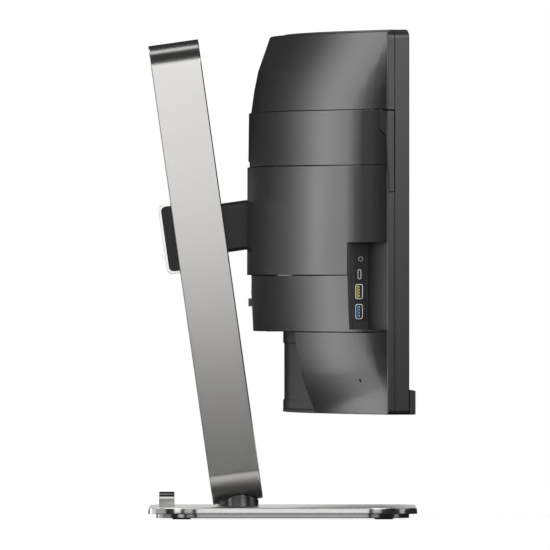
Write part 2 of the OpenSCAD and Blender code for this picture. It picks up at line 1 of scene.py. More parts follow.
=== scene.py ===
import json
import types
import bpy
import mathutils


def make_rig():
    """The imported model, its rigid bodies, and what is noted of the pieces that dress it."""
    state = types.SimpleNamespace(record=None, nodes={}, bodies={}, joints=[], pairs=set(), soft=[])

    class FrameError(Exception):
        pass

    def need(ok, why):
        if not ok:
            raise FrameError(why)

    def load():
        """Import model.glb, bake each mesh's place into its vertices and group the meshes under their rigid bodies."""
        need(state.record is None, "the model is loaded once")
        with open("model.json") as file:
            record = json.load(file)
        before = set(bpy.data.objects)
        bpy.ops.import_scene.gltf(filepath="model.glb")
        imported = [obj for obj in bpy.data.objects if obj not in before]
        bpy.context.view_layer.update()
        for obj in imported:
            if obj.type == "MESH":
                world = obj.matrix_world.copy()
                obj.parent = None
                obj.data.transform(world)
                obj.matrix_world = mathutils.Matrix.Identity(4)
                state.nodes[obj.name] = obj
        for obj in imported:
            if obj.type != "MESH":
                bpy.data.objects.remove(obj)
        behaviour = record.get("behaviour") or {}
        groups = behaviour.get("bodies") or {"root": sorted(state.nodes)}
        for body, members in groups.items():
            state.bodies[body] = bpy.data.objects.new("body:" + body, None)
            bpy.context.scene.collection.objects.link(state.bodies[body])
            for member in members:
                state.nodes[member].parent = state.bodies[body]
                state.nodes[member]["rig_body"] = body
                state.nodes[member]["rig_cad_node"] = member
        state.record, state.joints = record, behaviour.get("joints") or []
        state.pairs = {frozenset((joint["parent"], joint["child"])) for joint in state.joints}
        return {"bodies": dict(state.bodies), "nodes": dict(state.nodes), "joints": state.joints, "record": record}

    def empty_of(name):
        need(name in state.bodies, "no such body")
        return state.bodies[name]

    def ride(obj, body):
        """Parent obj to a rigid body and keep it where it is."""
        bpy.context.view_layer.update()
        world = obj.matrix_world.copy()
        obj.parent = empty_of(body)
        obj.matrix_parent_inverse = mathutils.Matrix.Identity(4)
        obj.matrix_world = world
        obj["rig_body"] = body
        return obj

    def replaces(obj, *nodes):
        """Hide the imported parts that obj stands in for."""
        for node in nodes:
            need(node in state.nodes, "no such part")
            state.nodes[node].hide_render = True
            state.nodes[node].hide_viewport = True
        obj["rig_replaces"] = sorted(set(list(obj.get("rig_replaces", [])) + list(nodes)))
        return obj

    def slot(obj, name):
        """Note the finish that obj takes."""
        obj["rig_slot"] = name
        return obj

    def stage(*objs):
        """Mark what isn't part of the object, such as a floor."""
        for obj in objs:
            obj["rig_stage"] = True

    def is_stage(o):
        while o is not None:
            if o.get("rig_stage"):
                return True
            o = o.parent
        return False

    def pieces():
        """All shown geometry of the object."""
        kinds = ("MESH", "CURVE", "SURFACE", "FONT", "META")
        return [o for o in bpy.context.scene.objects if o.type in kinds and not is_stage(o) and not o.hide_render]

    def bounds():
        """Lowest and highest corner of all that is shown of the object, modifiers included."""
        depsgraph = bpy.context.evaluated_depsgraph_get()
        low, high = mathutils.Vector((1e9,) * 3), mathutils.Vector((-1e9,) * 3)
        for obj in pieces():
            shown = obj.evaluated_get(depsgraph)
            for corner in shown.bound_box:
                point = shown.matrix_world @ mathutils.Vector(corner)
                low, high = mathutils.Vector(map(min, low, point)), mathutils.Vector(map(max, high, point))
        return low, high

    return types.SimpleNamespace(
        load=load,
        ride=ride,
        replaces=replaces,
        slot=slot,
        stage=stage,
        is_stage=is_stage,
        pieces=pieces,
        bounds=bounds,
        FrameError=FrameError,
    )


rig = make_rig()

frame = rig.load()

import json
from math import atan2, cos, hypot, pi, radians, sin, sqrt

import bmesh
import bpy
from mathutils import Matrix, Vector

cad_box = [list(v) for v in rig.bounds()]

# ---------------------------------------------------------------- sizes, in mm
CF, CB, CP, HALF = -1817.5, -1558.5, -1614.8, radians(19.35)
LEAN, COL_Y, HUB_Y = radians(8.064), 41.3, 43.5
HEAD_LO, HEAD_HI, Z_HI = 103.6, 470.4, 468.9
Z1, Z2, Z3, Z4 = 182.0, 236.5, 341.5, 394.5
END_X = 599.0
BAY_X, BAY_Z0, BAY_Z1 = 543.0, 184.6, 268.0
TILT_Y, TILT_Z = 25.0, 284.6
ROLL_S = 444.0


# ---------------------------------------------------------------- materials
def node(nt, kind, **values):
    n = nt.nodes.new(kind)
    for k, v in values.items():
        setattr(n, k, v)
    return n


def material(name, colour, rough, metal=0.0, grain=900.0, bump=0.25, tone=0.06, spread=0.06, specular=0.5,
             coat=0.0, stretch=(1, 1, 1), aniso=0.0, ior=1.5, transmission=0.0, depth=0.00004, cloud=9.0):
    """A moulded, painted or machined finish: fine grain in the relief, and slow variation in tone and gloss."""
    m = bpy.data.materials.new(name)
    m.use_nodes = True
    nt = m.node_tree
    b = nt.nodes["Principled BSDF"]
    b.inputs["Metallic"].default_value = metal
    b.inputs["IOR"].default_value = ior
    b.inputs["Specular IOR Level"].default_value = specular
    b.inputs["Coat Weight"].default_value = coat
    b.inputs["Coat Roughness"].default_value = 0.12
    b.inputs["Anisotropic"].default_value = aniso
    b.inputs["Transmission Weight"].default_value = transmission
    at = node(nt, "ShaderNodeTexCoord")
    place = node(nt, "ShaderNodeMapping")
    place.inputs["Scale"].default_value = stretch
    nt.links.new(at.outputs["Object"], place.inputs["Vector"])
    fine = node(nt, "ShaderNodeTexNoise")
    fine.inputs["Scale"].default_value = grain
    fine.inputs["Detail"].default_value = 3.0
    fine.inputs["Roughness"].default_value = 0.6
    nt.links.new(place.outputs["Vector"], fine.inputs["Vector"])
    slow = node(nt, "ShaderNodeTexNoise")
    slow.inputs["Scale"].default_value = cloud
    slow.inputs["Detail"].default_value = 4.0
    nt.links.new(at.outputs["Object"], slow.inputs["Vector"])
    both = node(nt, "ShaderNodeMix", data_type="FLOAT")
    both.inputs[0].default_value = 0.5
    nt.links.new(slow.outputs["Fac"], both.inputs[2])
    nt.links.new(fine.outputs["Fac"], both.inputs[3])
    ramp = node(nt, "ShaderNodeValToRGB")
    ramp.color_ramp.elements[0].position = 0.3
    ramp.color_ramp.elements[1].position = 0.7
    ramp.color_ramp.elements[0].color = (*[c * (1 - tone) for c in colour], 1)
    ramp.color_ramp.elements[1].color = (*[min(1, c * (1 + tone)) for c in colour], 1)
    nt.links.new(both.outputs[0], ramp.inputs["Fac"])
    nt.links.new(ramp.outputs["Color"], b.inputs["Base Color"])
    gloss = node(nt, "ShaderNodeMapRange")
    gloss.inputs["From Min"].default_value = 0.3
    gloss.inputs["From Max"].default_value = 0.7
    gloss.inputs["To Min"].default_value = rough * (1 - spread)
    gloss.inputs["To Max"].default_value = min(1, rough * (1 + spread))
    nt.links.new(both.outputs[0], gloss.inputs["Value"])
    nt.links.new(gloss.outputs["Result"], b.inputs["Roughness"])
    if bump:
        relief = node(nt, "ShaderNodeBump")
        relief.inputs["Strength"].default_value = bump
        relief.inputs["Distance"].default_value = depth
        nt.links.new(fine.outputs["Fac"], relief.inputs["Height"])
        nt.links.new(relief.outputs["Normal"], b.inputs["Normal"])
    return m


M = {
    "shell": material("satin_shell", (0.026, 0.026, 0.027), 0.235, grain=1400, bump=0.12),
    "bezel": material("satin_bezel", (0.032, 0.032, 0.034), 0.34, grain=1400, bump=0.12),
    "mid": material("satin_mid_frame", (0.032, 0.032, 0.033), 0.34, grain=1400, bump=0.12),
    "panel": material("textured_panel", (0.018, 0.018, 0.019), 0.52, grain=1100, bump=0.5, depth=0.00008),
    "bay": material("bay_plastic", (0.036, 0.036, 0.037), 0.5, grain=1100, bump=0.35, depth=0.00006),
    "bay_inner": material("bay_insert", (0.010, 0.010, 0.011), 0.45, grain=1100, bump=0.3, depth=0.00006),
    "column": material("bead_blasted_column", (0.70, 0.69, 0.675), 0.245, metal=1.0, grain=2600, bump=0.22, tone=0.03),
    "column_edge": material("polished_column_edge", (0.60, 0.595, 0.58), 0.17, metal=1.0, grain=1800, bump=0.04, tone=0.03),
    "base": material("bead_blasted_base", (0.71, 0.705, 0.69), 0.34, metal=1.0, grain=2600, bump=0.22, tone=0.03),
    "base_edge": material("polished_base_edge", (0.74, 0.735, 0.72), 0.15, metal=1.0, grain=1800, bump=0.03, tone=0.03),
    "under": material("satin_under_plate", (0.40, 0.40, 0.395), 0.17, metal=1.0, grain=1800, bump=0.03, tone=0.03),
    "rim": material("polished_rim", (0.80, 0.795, 0.78), 0.12, metal=1.0, grain=1500, bump=0.03, tone=0.02),
    "dark": material("dark_satin", (0.026, 0.026, 0.027), 0.34, grain=1500, bump=0.12),
    "arm": material("arm_paint", (0.046, 0.046, 0.048), 0.34, grain=1500, bump=0.15, coat=0.1),
    "hub": material("hub_enamel", (0.16, 0.16, 0.165), 0.24, metal=1.0, grain=1500, bump=0.06),
    "nickel": material("nickel_plate", (0.72, 0.71, 0.69), 0.2, metal=1.0, grain=700, bump=0.05, tone=0.04),
    "gold": material("gold_contact", (0.75, 0.52, 0.2), 0.25, metal=1.0, grain=700, bump=0.03, tone=0.04),
    "yellow": material("yellow_insert", (0.62, 0.54, 0.03), 0.38, grain=900, bump=0.1, tone=0.08),
    "blue": material("blue_insert", (0.03, 0.22, 0.60), 0.38, grain=900, bump=0.1, tone=0.08),
    "black": material("black_plastic", (0.008, 0.008, 0.008), 0.35, grain=900, bump=0.15, tone=0.1),
    "glass": material("anti_glare_glass", (0.006, 0.006, 0.008), 0.24, grain=5200, bump=0.10, coat=0.15, tone=0.05,
                      depth=0.00001),
    "release": material("release_plastic", (0.50, 0.50, 0.49), 0.38, grain=900, bump=0.1),
    "rubber": material("foot_rubber", (0.012, 0.012, 0.012), 0.8, grain=700, bump=0.5, tone=0.15, depth=0.0001),
    "steel": material("zinc_steel", (0.45, 0.45, 0.45), 0.3, metal=1.0, grain=500, bump=0.08, tone=0.08),
    "ground": material("ground_steel", (0.62, 0.62, 0.62), 0.16, metal=1.0, grain=400, bump=0.05, tone=0.04,
                       stretch=(8, 8, 0.3)),
    "sheet": material("galvanised_sheet", (0.55, 0.56, 0.57), 0.38, metal=1.0, grain=60, bump=0.05, tone=0.12),
    "oxide": material("black_oxide", (0.10, 0.10, 0.10), 0.42, metal=1.0, grain=600, bump=0.1),
    "cast": material("cast_aluminium", (0.38, 0.38, 0.385), 0.45, metal=1.0, grain=800, bump=0.3, depth=0.00008),
    "acetal": material("acetal", (0.78, 0.78, 0.74), 0.42, grain=800, bump=0.1),
    "brass": material("brass_washer", (0.60, 0.46, 0.20), 0.3, metal=1.0, grain=500, bump=0.08),
    "spring": material("spring_steel", (0.30, 0.34, 0.40), 0.25, metal=1.0, grain=400, bump=0.05, stretch=(8, 8, 0.3)),
    "film": material("white_film", (0.85, 0.85, 0.85), 0.6, grain=900, bump=0.05),
    "acrylic": material("clear_acrylic", (0.80, 0.90, 0.92), 0.08, grain=300, bump=0.01, transmission=0.6, tone=0.02),
    "lamps": material("lamp_strip", (0.80, 0.78, 0.50), 0.4, grain=220, bump=0.2, tone=0.2),
    "mask": material("solder_mask", (0.015, 0.16, 0.06), 0.3, grain=260, bump=0.25, tone=0.25, coat=0.3),
    "laminate": material("board_laminate", (0.26, 0.15, 0.05), 0.4, grain=260, bump=0.25, tone=0.2),
}


# ---------------------------------------------------------------- mesh tools
def fillet_drop(d, r):
    """How far a surface falls back at a distance d from an edge rounded to r."""
    return 0.0 if d >= r else r - sqrt(max(r * r - (r - d) ** 2, 0.0))


def finish_mesh(name, bm, mats, body, nodes, slot, sharp=32.0, weighted=True):
    bmesh.ops.remove_doubles(bm, verts=bm.verts, dist=1e-6)
    bmesh.ops.recalc_face_normals(bm, faces=bm.faces)
    for f in bm.faces:
        f.smooth = True
    for e in bm.edges:
        if len(e.link_faces) == 2:
            e.smooth = e.calc_face_angle(0.0) < radians(sharp)
    me = bpy.data.meshes.new(name)
    bm.to_mesh(me)
    bm.free()
    o = bpy.data.objects.new(name, me)
    bpy.context.scene.collection.objects.link(o)
    for m in mats:
        me.materials.append(m)
    if weighted:
        w = o.modifiers.new("weighted", "WEIGHTED_NORMAL")
        w.keep_sharp = True
    if body:
        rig.ride(o, body)
    if nodes:
        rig.replaces(o, *nodes)
    if slot:
        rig.slot(o, slot)
    return o


def loft(bm, rings, wrap=True, caps=True, mat=lambda k: 0):
    """Quads between rings of equal length; each ring is closed. wrap joins the last ring to the first."""
    rows = [[bm.verts.new([c * 0.001 for c in p]) for p in r] for r in rings]
    n, k_all = len(rows[0]), len(rows)
    for k in range(k_all if wrap else k_all - 1):
        a, b = rows[k], rows[(k + 1) % k_all]
        for j in range(n):
            try:
                f = bm.faces.new((a[j], a[(j + 1) % n], b[(j + 1) % n], b[j]))
                f.material_index = mat(k)
            except ValueError:
                pass
    if caps and not wrap:
        for r, k in ((rows[0], 0), (rows[-1], k_all - 2)):
            f = bm.faces.new(r)
            f.material_index = mat(k)
    return rows


def round_poly(pts, r, seg=5):
    """Rounds the corners of a polygon; r is one radius or a list."""
    out, n = [], len(pts)
    for i, p in enumerate(pts):
        ri = r[i] if isinstance(r, (list, tuple)) else r
        a, b = Vector(pts[i - 1]) - Vector(p), Vector(pts[(i + 1) % n]) - Vector(p)
        la, lb = a.length, b.length
        a.normalize(); b.normalize()
        half = a.angle(b) / 2
        if ri <= 0 or half > 1.55:
            out.append(tuple(p))
            continue
        t = min(ri / max(sin(half), 1e-6) * cos(half), la * 0.49, lb * 0.49)
        rr = t * sin(half) / cos(half)
        c = Vector(p) + (a + b).normalized() * (rr / sin(half))
        s, e = Vector(p) + a * t - c, Vector(p) + b * t - c
        turn = s.angle(e)
        for k in range(seg + 1):
            f = k / seg
            w = (s * sin((1 - f) * turn) + e * sin(f * turn)) / max(sin(turn), 1e-9)
            out.append(tuple(c + w))
    return out


def inset_poly(pts, d):
    """Moves a closed outline inward by d along the mean of its edge normals."""
    n = len(pts)
    area = sum(pts[i][0] * pts[(i + 1) % n][1] - pts[(i + 1) % n][0] * pts[i][1] for i in range(n))
    sign = 1 if area > 0 else -1
    out = []
    for i in range(n):
        p, q, r = Vector(pts[i - 1]), Vector(pts[i]), Vector(pts[(i + 1) % n])
        e1, e2 = (q - p), (r - q)
        e1 = e1.normalized() if e1.length > 1e-9 else e2.normalized()
        e2 = e2.normalized() if e2.length > 1e-9 else e1
        n1, n2 = Vector((-e1.y, e1.x)) * sign, Vector((-e2.y, e2.x)) * sign
        m = n1 + n2
        m = m.normalized() if m.length > 1e-6 else n1
        out.append(tuple(q + m * (d / max(m.dot(n1), 0.5))))
    return out


def prism(bm, outline, lo, hi, place, edge=0.5, edge_hi=None, seg=3, mat=lambda k: 0):
    """An outline extruded from lo to hi with rounded rims. place(u, v, h) gives the point in mm."""
    edge_hi = edge if edge_hi is None else edge_hi
    rings = []
    turns = [pi / 2 * k / seg for k in range(seg + 1)]
    for t in (turns if edge else turns[-1:]):
        rings.append([place(u, v, lo + edge * (1 - cos(t))) for u, v in inset_poly(outline, edge * (1 - sin(t)))])
    for t in (turns[::-1] if edge_hi else turns[-1:]):
        rings.append([place(u, v, hi - edge_hi * (1 - cos(t))) for u, v in inset_poly(outline, edge_hi * (1 - sin(t)))])
    loft(bm, rings, wrap=False, mat=mat)


def rrect(x0, x1, y0, y1, r, seg=6):
    return round_poly([(x0, y0), (x1, y0), (x1, y1), (x0, y1)], r, seg)


def box_bm(bm, lo, hi, place=lambda x, y, z: (x, y, z), edge=0.0):
    prism(bm, [(lo[0], lo[1]), (hi[0], lo[1]), (hi[0], hi[1]), (lo[0], hi[1])], lo[2], hi[2], place, edge)


def cutter(build):
    """A hidden object used once to cut another; it is removed afterwards."""
    bm = bmesh.new()
    build(bm)
    bmesh.ops.recalc_face_normals(bm, faces=bm.faces)
    me = bpy.data.meshes.new("cut")
    bm.to_mesh(me)
    bm.free()
    o = bpy.data.objects.new("cut", me)
    bpy.context.scene.collection.objects.link(o)
    return o


def carve(bm, cuts, how="DIFFERENCE"):
    """Cuts the mesh in bm with each cutter and returns the new mesh."""
    bmesh.ops.remove_doubles(bm, verts=bm.verts, dist=1e-6)
    bmesh.ops.recalc_face_normals(bm, faces=bm.faces)
    me = bpy.data.meshes.new("carve")
    bm.to_mesh(me)
    bm.free()
    o = bpy.data.objects.new("carve", me)
    bpy.context.scene.collection.objects.link(o)
    for c in cuts:
        m = o.modifiers.new("cut", "BOOLEAN")
        m.operation, m.solver, m.object = how, "EXACT", c
    dg = bpy.context.evaluated_depsgraph_get()
    out = bmesh.new()
    out.from_mesh(o.evaluated_get(dg).to_mesh())
    bpy.data.objects.remove(o)
    for c in cuts:
        bpy.data.objects.remove(c)
    return out


def in_column(x, v, s):
    return (x, COL_Y + v * cos(LEAN) + s * sin(LEAN), -v * sin(LEAN) + s * cos(LEAN))


def in_end(x, y, z):
    """x inward from the left end face, y rearward, z up."""
    r = y - CF
    return (x * cos(HALF) - r * sin(HALF), CF + x * sin(HALF) + r * cos(HALF), z)


def on_arc(a, r, z):
    return (r * sin(a), CF + r * cos(a), z)


def smin(a, b, k):
    h = max(k - abs(a - b), 0.0) / k
    return min(a, b) - h * h * k * 0.25


def smax(a, b, k):
    return -smin(-a, -b, k)


def step(a, b, x):
    t = min(max((x - a) / (b - a), 0.0), 1.0)
    return t * t * (3 - 2 * t)


def y_thin(x, r):
    return CF + sqrt(r * r - x * x)


def y_flank(x):
    a = abs(x)
    if a <= 543:
        return -60.92 + (543 - a) * 0.364
    return -190.6 + sqrt(max(138.0 ** 2 - (a - 495.8) ** 2, 0.0))


def lin(prof, z):
    for (z0, y0), (z1, y1) in zip(prof, prof[1:]):
        if z <= z1:
            return y0 + (y1 - y0) * (z - z0) / (z1 - z0)
    return prof[-1][1]


def soft(prof, z, w):
    """The profile with its creases smoothed over w millimetres each way."""
    n = 9
    lo, hi = prof[0], prof[-1]
    total = 0.0
    for k in range(n):
        zz = z + w * (2 * k / (n - 1) - 1)
        if zz < lo[0]:
            s = (prof[1][1] - lo[1]) / (prof[1][0] - lo[0])
            total += lo[1] + s * (zz - lo[0])
        elif zz > hi[0]:
            s = (hi[1] - prof[-2][1]) / (hi[0] - prof[-2][0])
            total += hi[1] + s * (zz - hi[0])
        else:
            total += lin(prof, zz)
    return total / n


def y_cover(prof, x, z, skirt, cc=CB):
    """Rear cover's surface: main curve, rounded flank and, at the thin edges, the skirt along the screen module."""
    w = step(60, 500, abs(x))
    y0 = soft(prof, z, 1.2 + 24 * w) if len(prof) > 2 else lin(prof, z)
    y = cc + sqrt(max((y0 - cc) ** 2 - x * x, 0.0))
    y = smin(y, y_flank(x), 7.0 if skirt else 3.0)
    if skirt:
        y = smax(y, y_thin(x, 1819.6), 2.5)
    return y


PROF_TOP = [(394.5, 30.8), (415, 28), (435, 24), (468.9, 12.2)]
PROF_3 = [(341.5, 33.6), (394.5, 33)]
PROF_4 = [(236.5, 36), (341.5, 35.6)]
PROF_5 = [(182, 28.8), (236.5, 31.5)]
PROF_LOW = [(103.6, 9.6), (143, 23.8), (160, 26.9), (182, 29)]


def x_rows(x0, x1, step_mm=14.0, fil0=0.0, fil1=0.0):
    """Stations along x, closer together on the flank and in the fillet at each end."""
    out = []
    x = x0
    n = max(2, int((x1 - x0) / step_mm))
    for k in range(n + 1):
        out.append(x0 + (x1 - x0) * k / n)
    for s in (-1, 1):
        for k in range(15):
            xx = s * (536 + 62.5 * (k / 14) ** 0.9)
            if x0 < xx < x1:
                out.append(xx)
    for fil, end, s in ((fil0, x0, 1), (fil1, x1, -1)):
        if fil:
            for k in range(5):
                out.append(end + s * fil * (1 - cos(pi / 2 * k / 4)))
    out = sorted(set(round(v, 4) for v in out))
    keep = [out[0]]
    for v in out[1:]:
        if v - keep[-1] > 0.04:
            keep.append(v)
    keep[-1] = out[-1]
    return keep


def z_rows(prof, za, zb, fil_a, fil_b, pitch=6.0):
    zs = [za + (zb - za) * k / max(3, int((zb - za) / pitch)) for k in range(max(3, int((zb - za) / pitch)) + 1)]
    for p in prof[1:-1]:
        zs += [p[0] - 1.6, p[0] - 0.5, p[0] + 0.5, p[0] + 1.6]
    for k in range(5):
        c = 1 - cos(pi / 2 * k / 4)
        zs += [za + fil_a * c, zb - fil_b * c]
    zs = sorted(set(round(z, 4) for z in zs))
    keep = [zs[0]]
    for z in zs[1:]:
        if z - keep[-1] > 0.03:
            keep.append(z)
    keep[-1] = zs[-1]
    return keep


def cover(prof, za, zb, x0=-END_X, x1=END_X, t=3.2, lip_a=0.0, lip_b=0.0, floor_a=0.0, floor_b=0.0, skirt=False,
          fil=0.8, fil_a=None, fil_b=None, gap=0.12, end_fil=0.9, cc=CB):
    """One band of the rear cover as a closed wall; lips close a step to the next band, floors reach the screen module."""
    fil_a = fil if fil_a is None else fil_a
    fil_b = fil if fil_b is None else fil_b
    za, zb = za + gap, zb - gap
    zs = z_rows(prof, za, zb, fil_a, fil_b)
    bm = bmesh.new()
    rings = []
    for x in x_rows(x0, x1, fil0=end_fil, fil1=end_fil):
        def outer(z):
            y = y_cover(prof, x, z, skirt, cc)
            y -= fillet_drop(z - za, fil_a) + fillet_drop(zb - z, fil_b)
            return y - fillet_drop(x - x0, end_fil) - fillet_drop(x1 - x, end_fil)
        ring = [(outer(z), z) for z in zs]
        bound = y_thin(x, 1817.5)
        inner = lambda z, off: max(y_cover(prof, x, min(max(z, za), zb), skirt, cc) - off, bound)
        top, bottom = [], []
        if floor_b:
            top = [(bound, zb), (bound, zb - floor_b)]
            z_top = zb - floor_b
        elif lip_b:
            top = [(inner(zb, lip_b), zb), (inner(zb, lip_b), zb - 2.0)]
            z_top = zb - 2.0
        else:
            z_top = zb
        if floor_a:
            bottom = [(bound, za + floor_a), (bound, za)]
            z_bot = za + floor_a
        elif lip_a:
            bottom = [(inner(za, lip_a), za + 2.0), (inner(za, lip_a), za)]
            z_bot = za + 2.0
        else:
            z_bot = za
        n_in = 8
        ins = [(inner(z_top + (z_bot - z_top) * k / n_in, t), z_top + (z_bot - z_top) * k / n_in) for k in range(n_in + 1)]
        ring = ring + top + ins + bottom
        rings.append([(x, y, z) for y, z in ring])
    loft(bm, rings, wrap=False)
    return bm


def arc_sweep(section, a0, a1, n, mat=lambda k: 0, cap_edge=0.0):
    """A closed (r, z) section swept about the screen's centre of curvature; cap_edge rounds its two ends."""
    bm = bmesh.new()
    rings = []
    r_mid = sum(p[0] for p in section) / len(section)
    if cap_edge:
        for k in range(4):
            t = pi / 2 * k / 3
            s = inset_poly(section, cap_edge * (1 - sin(t)))
            rings.append([on_arc(a0 + cap_edge * (1 - cos(t)) / r_mid, r, z) for r, z in s])
    else:
        rings.append([on_arc(a0, r, z) for r, z in section])
    for k in range(1, n):
        a = a0 + (a1 - a0) * k / n
        rings.append([on_arc(a, r, z) for r, z in section])
    if cap_edge:
        for k in range(3, -1, -1):
            t = pi / 2 * k / 3
            s = inset_poly(section, cap_edge * (1 - sin(t)))
            rings.append([on_arc(a1 - cap_edge * (1 - cos(t)) / r_mid, r, z) for r, z in s])
    else:
        rings.append([on_arc(a1, r, z) for r, z in section])
    loft(bm, rings, wrap=False, mat=mat)
    return bm


R_REF = 1806.5
UH = HALF * R_REF


def frame_loop(uh, zl, zh, rc_top, rc_bot, r, n_long=110, n_side=10, seg=8):
    """A rounded rectangle wrapped on the curve of the screen: half width uh, heights zl to zh."""
    pts = []
    def corner(cu, cz, rc, a):
        for k in range(seg + 1):
            t = a + pi / 2 * k / seg
            pts.append((cu + rc * cos(t), cz + rc * sin(t)))
    def run(p, q, n):
        for k in range(1, n):
            pts.append((p[0] + (q[0] - p[0]) * k / n, p[1] + (q[1] - p[1]) * k / n))
    corner(uh - rc_bot, zl + rc_bot, rc_bot, -pi / 2)
    run((uh, zl + rc_bot), (uh, zh - rc_top), n_side)
    corner(uh - rc_top, zh - rc_top, rc_top, 0)
    run((uh - rc_top, zh), (-uh + rc_top, zh), n_long)
    corner(-uh + rc_top, zh - rc_top, rc_top, pi / 2)
    run((-uh, zh - rc_top), (-uh, zl + rc_bot), n_side)
    corner(-uh + rc_bot, zl + rc_bot, rc_bot, pi)
    run((-uh + rc_bot, zl), (uh - rc_bot, zl), n_long)
    return [on_arc(u / R_REF, r, z) for u, z in pts]


# ---------------------------------------------------------------- base
def plan_ring(inset, z, r=50.0):
    w, d, rr = 210.0 - inset, 130.6 - inset, r - inset
    return [(x, y, z) for x, y in rrect(-w, w, -d, d, rr, 18)]


def plate(name, rings, mats, mat, nodes, slot):
    bm = bmesh.new()
    loft(bm, rings, wrap=False, mat=mat)
    return finish_mesh(name, bm, mats, "base", nodes, slot, sharp=28)


plate("base_plate_mesh", [plan_ring(0.7, 5.1), plan_ring(0.25, 5.25), plan_ring(0, 5.8), plan_ring(0, 10.2),
                          plan_ring(0.12, 10.6), plan_ring(0.5, 10.98), plan_ring(0.95, 11.1), plan_ring(1.6, 11.1)],
      [M["base_edge"], M["base"]], lambda k: 0 if k < 5 else 1, ["base_plate"], "base_metal")
plate("base_under_plate_mesh", [plan_ring(8.5, 1.2), plan_ring(8.1, 1.35), plan_ring(8, 1.8), plan_ring(8, 5.1)],
      [M["under"]], lambda k: 0, ["base_under_plate"], "under_plate_metal")


def hub():
    bm = bmesh.new()
    n, m, r_out = 64, 16, 20.0
    def roof(x, y):
        s = 45.6 - sqrt(max(30.0 ** 2 - x * x, 0))
        v = (y - COL_Y - s * sin(LEAN)) / cos(LEAN)
        return -v * sin(LEAN) + s * cos(LEAN) - 0.25
    rings = []
    for r, z in ((r_out - 0.3, 11.3), (r_out, 11.7)):
        rings.append([(r * cos(2 * pi * k / n), HUB_Y + r * sin(2 * pi * k / n), z) for k in range(n)])
    for r, dz in ((r_out, 1.3), (r_out - 0.25, 0.7), (r_out - 0.8, 0.25)):
        rings.append([(r * cos(2 * pi * k / n), HUB_Y + r * sin(2 * pi * k / n),
                       max(roof(r * cos(2 * pi * k / n), HUB_Y + r * sin(2 * pi * k / n)) - dz, 11.9)) for k in range(n)])
    for j in range(m, 0, -1):
        r = (r_out - 1.6) * j / m
        rings.append([(r * cos(2 * pi * k / n), HUB_Y + r * sin(2 * pi * k / n),
                       max(roof(r * cos(2 * pi * k / n), HUB_Y + r * sin(2 * pi * k / n)), 12.2)) for k in range(n)])
    loft(bm, rings, wrap=False)
    return finish_mesh("hub_cover_mesh", bm, [M["hub"]], "column", ["hub_cover"], "hub_plastic", sharp=40)


hub()


def hoop():
    """The cable hoop on the rear edge of the base: a band bent into an arch."""
    bm = bmesh.new()
    path, nor = [], []
    for z in (11.15, 14.0, 18.3):
        path.append((-21.0, z)); nor.append((-1, 0))
    for k in range(9):
        t = pi - pi / 2 * k / 8
        path.append((-15.2 + 5.8 * cos(t), 18.3 + 5.8 * sin(t))); nor.append((cos(t), sin(t)))
    for x in (-7, 0, 7):
        path.append((x, 24.1)); nor.append((0, 1))
    for k in range(9):
        t = pi / 2 - pi / 2 * k / 8
        path.append((15.2 + 5.8 * cos(t), 18.3 + 5.8 * sin(t))); nor.append((cos(t), sin(t)))
    for z in (18.3, 14.0, 11.15):
        path.append((21.0, z)); nor.append((1, 0))
    sec = round_poly([(-1.0, 105.7), (1.0, 105.7), (1.0, 120.6), (-1.0, 120.6)], 0.45, 3)
    rings = [[(p[0] + n[0] * a, y, p[1] + n[1] * a) for a, y in sec] for p, n in zip(path, nor)]
    loft(bm, rings, wrap=False)
    return finish_mesh("cable_hoop_mesh", bm, [M["column_edge"]], "base", ["cable_hoop"], "hoop_metal", sharp=50)


hoop()


# ---------------------------------------------------------------- column
def loop_pts(g):
    w, pts = 30.0 - g, []
    for k in range(40):
        t = pi + pi * k / 40
        pts.append((w * cos(t), 45.6 + w * sin(t)))
    for k in range(16):
        pts.append((w, 45.6 + (ROLL_S - 45.6) * k / 16))
    for k in range(14):
        t = pi / 2 * k / 14
        pts.append((6 + (24 - g) * cos(t), ROLL_S + (24 - g) * sin(t)))
    for k in range(3):
        pts.append((6 - 12 * k / 3, ROLL_S + 24 - g))
    for k in range(14):
        t = pi / 2 + pi / 2 * k / 14
        pts.append((-6 + (24 - g) * cos(t), ROLL_S + (24 - g) * sin(t)))
    for k in range(16):
        pts.append((-w, ROLL_S - (ROLL_S - 45.6) * k / 16))
    return pts


def band():
    bm = bmesh.new()
    sec = [(0, -23.5), (0, -8), (0, 8), (0, 23.5), (0.18, 24.0), (0.6, 24.42), (1.1, 24.6), (5.5, 24.6), (6, 24.1),
           (6, 8), (6, -8), (6, -24.1), (5.5, -24.6), (1.1, -24.6), (0.6, -24.42), (0.18, -24.0)]
    rings = [[in_column(x, v, s) for x, s in loop_pts(g)] for g, v in sec]
    edge = {3, 4, 5, 6, 12, 13, 14, 15, 7, 11}
    loft(bm, rings, wrap=True, mat=lambda k: 1 if k in edge else 0)
    o = finish_mesh("column_band_mesh", bm, [M["column"], M["column_edge"]], "column", ["column_band"], "column_metal", sharp=50)
    # the satin covers are too coarse to mirror the bright band
    o.visible_glossy = False
    return o


band()


